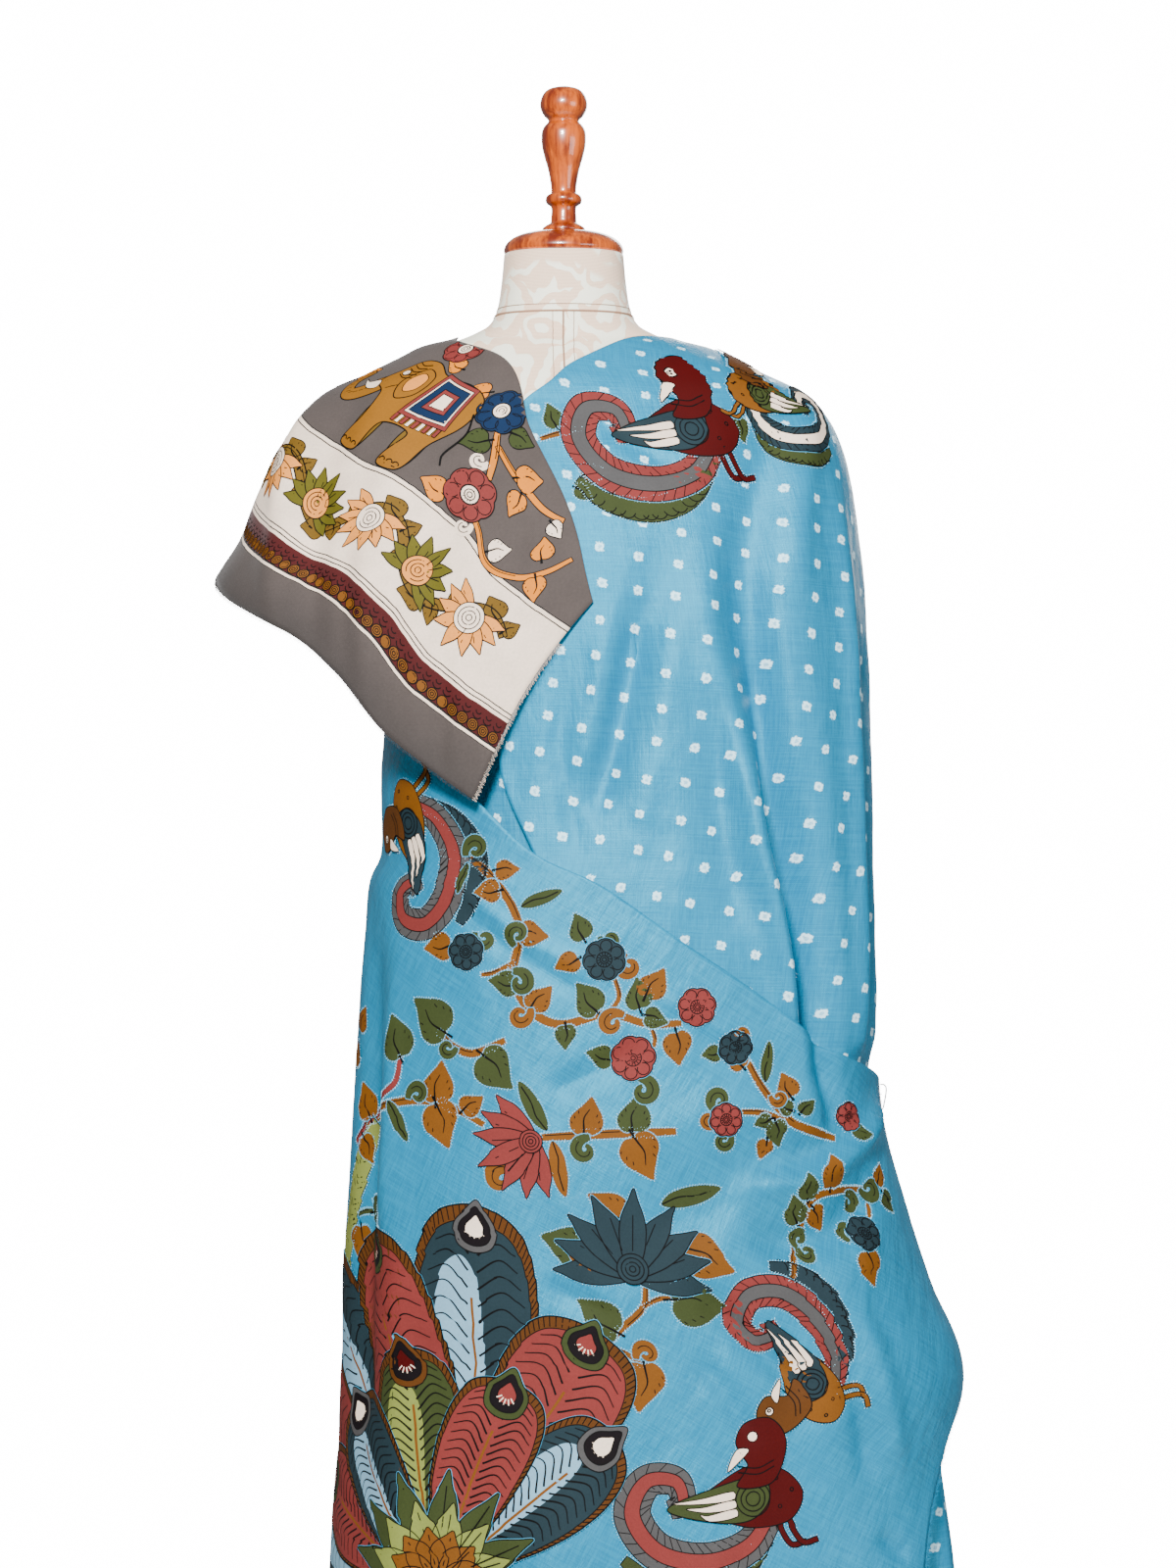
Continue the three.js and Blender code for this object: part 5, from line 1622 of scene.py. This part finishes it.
# %% Print in the grey field
FIELD_STEMS = [
    [(-58, 1315), (-61, 1293), (-64, 1271)],
    [(-58, 1300), (-42, 1277), (-23, 1252), (0, 1240)],
    [(-77, 1239), (-69, 1204), (-42, 1188), (-15, 1196), (8, 1204)],
]
FIELD_LEAVES = [  # x, z, length, turn in the picture, colour
    (-86, 1370, 24, 150, "yellow"), (-64, 1352, 30, 172, "yellow"), (-104, 1262, 28, 150, "yellow"),
    (-40, 1276, 28, 10, "yellow"), (-38, 1262, 24, -110, "yellow"), (-20, 1204, 26, 100, "yellow"),
    (-24, 1190, 26, -80, "yellow"), (-66, 1306, 30, 190, "green"), (-46, 1312, 24, -20, "green"),
    (-66, 1212, 26, 20, "cream"), (-12, 1236, 20, -50, "cream"),
]
FIELD_FLOWERS = [  # x, z, radius, colour, petals
    (-54, 1336, 23, "navy", 9), (-81, 1257, 22, "coral", 7), (-84, 1388, 20, "coral", 7),
]
SLANT = 32  # the bands run down to the right by this angle there
for path in FIELD_STEMS:
    printed.draw(stem(smooth_path([printed.seen(complex(*p)) for p in path]), 5.5, "yellow", pen=0.9))
for x, z, length, turn, colour in FIELD_LEAVES:
    printed.draw(leaf(0.9 * length, colour, pen=0.9), printed.seen(complex(x, z)), turn + SLANT, over=1)
for x, z, turn in ((-66, 1290, 160), (-80, 1234, 190)):
    printed.draw(curl(17, "cream"), printed.seen(complex(x, z)), turn + SLANT)
for x, z, radius, colour, petals in FIELD_FLOWERS:
    flower = rosette(radius, colour, petals)
    flower.fill("cream", round_path(0, 0.34 * radius)[:-1], edge=False)
    for share in (0.2, 0.1):
        flower.pen(round_path(0, share * radius))
    printed.draw(flower, printed.seen(complex(x, z)), over=3)
walker = printed.seen(-141 + 1334j)
printed.draw(elephant(108), complex(walker.real + 12, FIELD_FOOT + 64))
for i in range(4):
    far = complex(walker.real - 120 - 85 * i, FIELD_FOOT + 52)
    if far.real > 20:
        printed.draw(rosette(20, ("navy", "coral")[i % 2]), far)
        printed.draw(leaf(28, "yellow", pen=0.9), far + 22 + 10j, 40)
        printed.draw(leaf(28, "yellow", pen=0.9), far - 20 + 12j, 140)
        printed.draw(leaf(26, "green", pen=0.9), far - 2 - 22j, -80)
print("print drawn")

# %% Paints
PAINTS = {
    "orange": (148, 115, 64), "green": (103, 111, 80), "slate": (79, 97, 103), "coral": (153, 98, 95),
    "red": (114, 6, 12), "brown": (128, 98, 58), "cream": (222, 211, 200), "grey": (120, 119, 119),
    "pale_green": (156, 162, 112), "pale_blue": (156, 181, 193), "ink": (30, 25, 28),
    "ink_cloth": (60, 50, 56), "thread": (124, 180, 200), "ochre": (164, 132, 72), "navy": (56, 86, 114),
    "yellow": (206, 156, 74), "olive": (144, 124, 72), "olive_green": (132, 128, 70),
    "peach": (212, 168, 112), "seam": (178, 156, 140), "whip": (190, 220, 230), "silk_end": (70, 170, 196),
    "hem_end": (120, 116, 114),
}


def paint(name, rgb):
    made, shader, w = material("paint_" + name, rough=0.7, specular=0.12)
    where = cloth_coordinates(w)
    threads = use_group(w, weave, Where=where, Threads=PAINTED_THREADS, Slub=0.7)
    dyed(w, shader, where, shown(rgb), 0.16)
    bump(w, shader, threads.outputs["Height"], distance=0.00025, strength=0.5)
    return made


paints = {name: paint(name, rgb) for name, rgb in PAINTS.items()}
BANDS = [  # from, to (mm up from the hem), colour
    (HEM - 0.8, HEM, "ink"), (HEM, HEM + WHITE, "cream"), (HEM + WHITE, RED_FOOT, "ink"),
    (RED_FOOT, CREAM_FOOT, "red"), (CREAM_FOOT, FIELD_FOOT, "cream"),
    (CREAM_FOOT + 3, CREAM_FOOT + 4.1, "ink"), (CREAM_FOOT + 7, CREAM_FOOT + 8.1, "ink"),
    (FIELD_FOOT - 5.5, FIELD_FOOT - 4.4, "ink"), (FIELD_FOOT - 1.1, FIELD_FOOT, "ink"),
]


def printed_cotton():
    """Grey cotton with painted bands, whose edges wander a little, as by hand."""
    made, shader, w = material("printed_cotton", rough=0.82, sheen=0.12, specular=0.3)
    where = cloth_coordinates(w)
    level = w.split(w.node("UVMap", uv_map="band").outputs[0])[1]
    up = w.math("MULTIPLY_ADD", w.math("SUBTRACT", w.noise(where, 60.0, 2.0), 0.5), 0.002, level)
    hem = w.span(up, 0.0, HEM * MM, 1.0, 0.0, smooth=False)
    tone = w.mix(hem, shown((120, 113, 110)), shown((104, 99, 97)))
    for low, high, colour in BANDS:
        inside = w.math("MULTIPLY", w.math("GREATER_THAN", up, low * MM), w.math("LESS_THAN", up, high * MM))
        tone = w.mix(inside, tone, shown(PAINTS[colour]))
    threads = use_group(w, weave, Where=where, Threads=COTTON_THREADS, Slub=0.8)
    dyed(w, shader, where, tone, 0.2)
    bump(w, shader, threads.outputs["Height"], distance=0.0004, strength=0.6)
    return made


finish_piece(pieces["blouse_piece"], printed_cotton())
cover = Canvas("form_body", form, "form_cover")
for x in (0, -9, 9):
    cover.draw(Sketch().pen(smooth_path([x + 1300j, x + 1416j]), 0.6 if x else 1.5, "seam"))
for z in (1417, 1423):
    cover.draw(Sketch().pen(np.linspace(-330, 330, 240) + 1j * z, 1.6 if z == 1417 else 0.6, "seam"))
drawn = {canvas.name: canvas.finish() for canvas in (front, neckline, printed, cover)}


# %% [markdown]
# What repeats is laid by one geometry node group: short threads set along a line at a spacing, each
# turned to the line's own direction with some unrest. It whips the applique's edges and frays the cut
# edges of the wrap's end and of the blouse piece.

# %% Laid threads
def laid_threads():
    tree = bpy.data.node_groups.new("laid_threads", "GeometryNodeTree")
    sockets = [("Line", "Geometry"), ("Spacing", "Float"), ("Length", "Float"), ("Thickness", "Float"),
               ("Unrest", "Float"), ("Seed", "Int"), ("Material", "Material")]
    for title, kind in sockets:
        tree.interface.new_socket(title, in_out="INPUT", socket_type="NodeSocket" + kind)
    tree.interface.new_socket("Threads", in_out="OUTPUT", socket_type="NodeSocketGeometry")
    start, end = tree.nodes.new("NodeGroupInput"), tree.nodes.new("NodeGroupOutput")

    def node(kind, inputs=(), **settings):
        n = tree.nodes.new(kind)
        for key, value in settings.items():
            setattr(n, key, value)
        for title, value in inputs:
            if isinstance(value, bpy.types.NodeSocket):
                tree.links.new(value, n.inputs[title])
            else:
                n.inputs[title].default_value = value
        return n

    given = {title: start.outputs[title] for title, _ in sockets}
    curve = node("GeometryNodeMeshToCurve", [("Mesh", given["Line"])])
    spaced = [("Curve", curve.outputs[0]), ("Length", given["Spacing"])]
    points = node("GeometryNodeResampleCurve", spaced, mode="LENGTH")
    aim = node("GeometryNodeInputNamedAttribute", [("Name", "aim")], data_type="FLOAT_VECTOR").outputs[0]
    between = [(0, (-1, -1, -1)), (1, (1, 1, 1)), ("Seed", given["Seed"])]
    shake = node("FunctionNodeRandomValue", between, data_type="FLOAT_VECTOR")
    unrest = [(0, shake.outputs[0]), ("Scale", given["Unrest"])]
    shaken = node("ShaderNodeVectorMath", unrest, operation="SCALE")
    turned_to = node("ShaderNodeVectorMath", [(0, aim), (1, shaken.outputs[0])], operation="ADD")
    turn = node("FunctionNodeAlignRotationToVector", [("Vector", turned_to.outputs[0])], axis="Z")
    sizes = [("Vertices", 3), ("Radius", given["Thickness"]), ("Depth", given["Length"])]
    bar = node("GeometryNodeMeshCylinder", sizes, fill_type="NONE")
    shares = [(2, 0.65), (3, 1.35), ("Seed", given["Seed"])]
    scale = node("FunctionNodeRandomValue", shares, data_type="FLOAT")
    long = node("ShaderNodeCombineXYZ", [("X", 1.0), ("Y", 1.0), ("Z", scale.outputs[1])])
    placing = [("Points", points.outputs[0]), ("Instance", bar.outputs[0]),
               ("Rotation", turn.outputs[0]), ("Scale", long.outputs[0])]
    placed = node("GeometryNodeInstanceOnPoints", placing)
    real = node("GeometryNodeRealizeInstances", [("Geometry", placed.outputs[0])])
    done = node("GeometryNodeSetMaterial", [("Geometry", real.outputs[0]), ("Material", given["Material"])])
    tree.links.new(done.outputs[0], end.inputs[0])
    return tree


threads_group = laid_threads()


def lay_threads(name, lines, slot, paint_name, **values):
    """A piece of threads along lines, each given as points and the way that a thread points there."""
    mesh = bpy.data.meshes.new(name + "_line")
    edges, start = [], 0
    for points, _ in lines:
        edges += [(start + i, start + i + 1) for i in range(len(points) - 1)]
        start += len(points)
    points, ways = (np.concatenate(both) for both in zip(*lines))
    mesh.from_pydata((points * MM).tolist(), edges, [])
    layer = mesh.attributes.new("aim", "FLOAT_VECTOR", "POINT")
    layer.data.foreach_set("vector", ways.astype(np.float32).ravel())
    holder = placed_object(name + "_line", mesh)
    modifier = holder.modifiers.new("threads", "NODES")
    modifier.node_group = threads_group
    values = {"Material": paints[paint_name], **values}
    for item in threads_group.interface.items_tree:
        if item.in_out == "INPUT" and item.name in values:
            modifier[item.identifier] = values[item.name]
    bpy.context.view_layer.update()
    made = bpy.data.meshes.new_from_object(holder.evaluated_get(bpy.context.evaluated_depsgraph_get()))
    made.name = name
    holder.modifiers.clear()
    bpy.data.objects.remove(holder)
    piece = placed_object(name, made)
    if not made.materials:
        made.materials.append(paints[paint_name])
    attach(piece, "root")
    print(name, len(made.polygons), "faces")
    return piece


def unit(v):
    return v / np.maximum(np.linalg.norm(v, axis=-1, keepdims=True), 1e-9)


# %% Stitches round the applique
def whipped(canvas, name):
    lines = []
    for path in canvas.edges:
        spots, on = canvas.lay(path, RISE)
        out = unit(canvas.lay(path, RISE + 10)[0] - spots)
        for run in np.split(np.arange(len(path)), np.flatnonzero(~on)):
            run = run[on[run]]
            if len(run) > 3:
                along = unit(np.gradient(spots[run], axis=0))
                across = np.cross(out[run], along)
                lines.append((spots[run], unit(0.5 * along + across)))
    return lay_threads(name, lines, "saree_silk", "whip", Spacing=0.0025, Length=0.0021,
                       Thickness=0.00026, Unrest=0.35, Seed=4)


drawn["saree_front_wrap"].append(whipped(front, "wrap_stitches"))
drawn["saree_chest_stretch"].append(whipped(neckline, "chest_stitches"))


# %% Frayed edges
def frayed(name, cloth, side, slot, colour, long, wander, seed, skip=0):
    """Loose threads off the lower edge of a cloth or, with side, off its right edge."""
    grid = grids[cloth].swapaxes(0, 1) if side else grids[cloth]
    rim, inside = grid[-1, skip:], grid[-2, skip:]
    outward = unit(rim - inside)
    normal = unit(np.cross(np.gradient(rim, axis=0), outward))
    if np.mean(np.sum(normal * rim * (1, 1, 0), axis=-1)) < 0:
        normal = -normal
    line = (rim + outward * 0.3 * long - normal * 0.5 * CLOTH, outward)
    threads = lay_threads(name, [line], slot, colour, Spacing=0.0011, Length=long * MM,
                          Thickness=0.00016, Unrest=wander, Seed=seed)
    drawn[cloth].append(threads)


frayed("wrap_fray", "saree_front_wrap", True, "saree_silk", "silk_end", 7.0, 0.5, seed=11)
frayed("blouse_fray", "blouse_piece", True, "blouse_cloth", "cream", 4.5, 0.6, seed=12, skip=20)
frayed("blouse_hem_fray", "blouse_piece", False, "blouse_cloth", "hem_end", 3.0, 0.6, seed=13)


# %% Floor
def add_floor():
    mesh = bpy.data.meshes.new("floor")
    edit = bmesh.new()
    bmesh.ops.create_circle(edit, cap_ends=True, segments=96, radius=1.2)
    edit.to_mesh(mesh)
    floor = placed_object("floor", mesh)
    made, shader, _ = material("floor_paint", rough=0.8)
    shader.inputs["Base Color"].default_value = linear((236, 235, 233))
    mesh.materials.append(made)


add_floor()
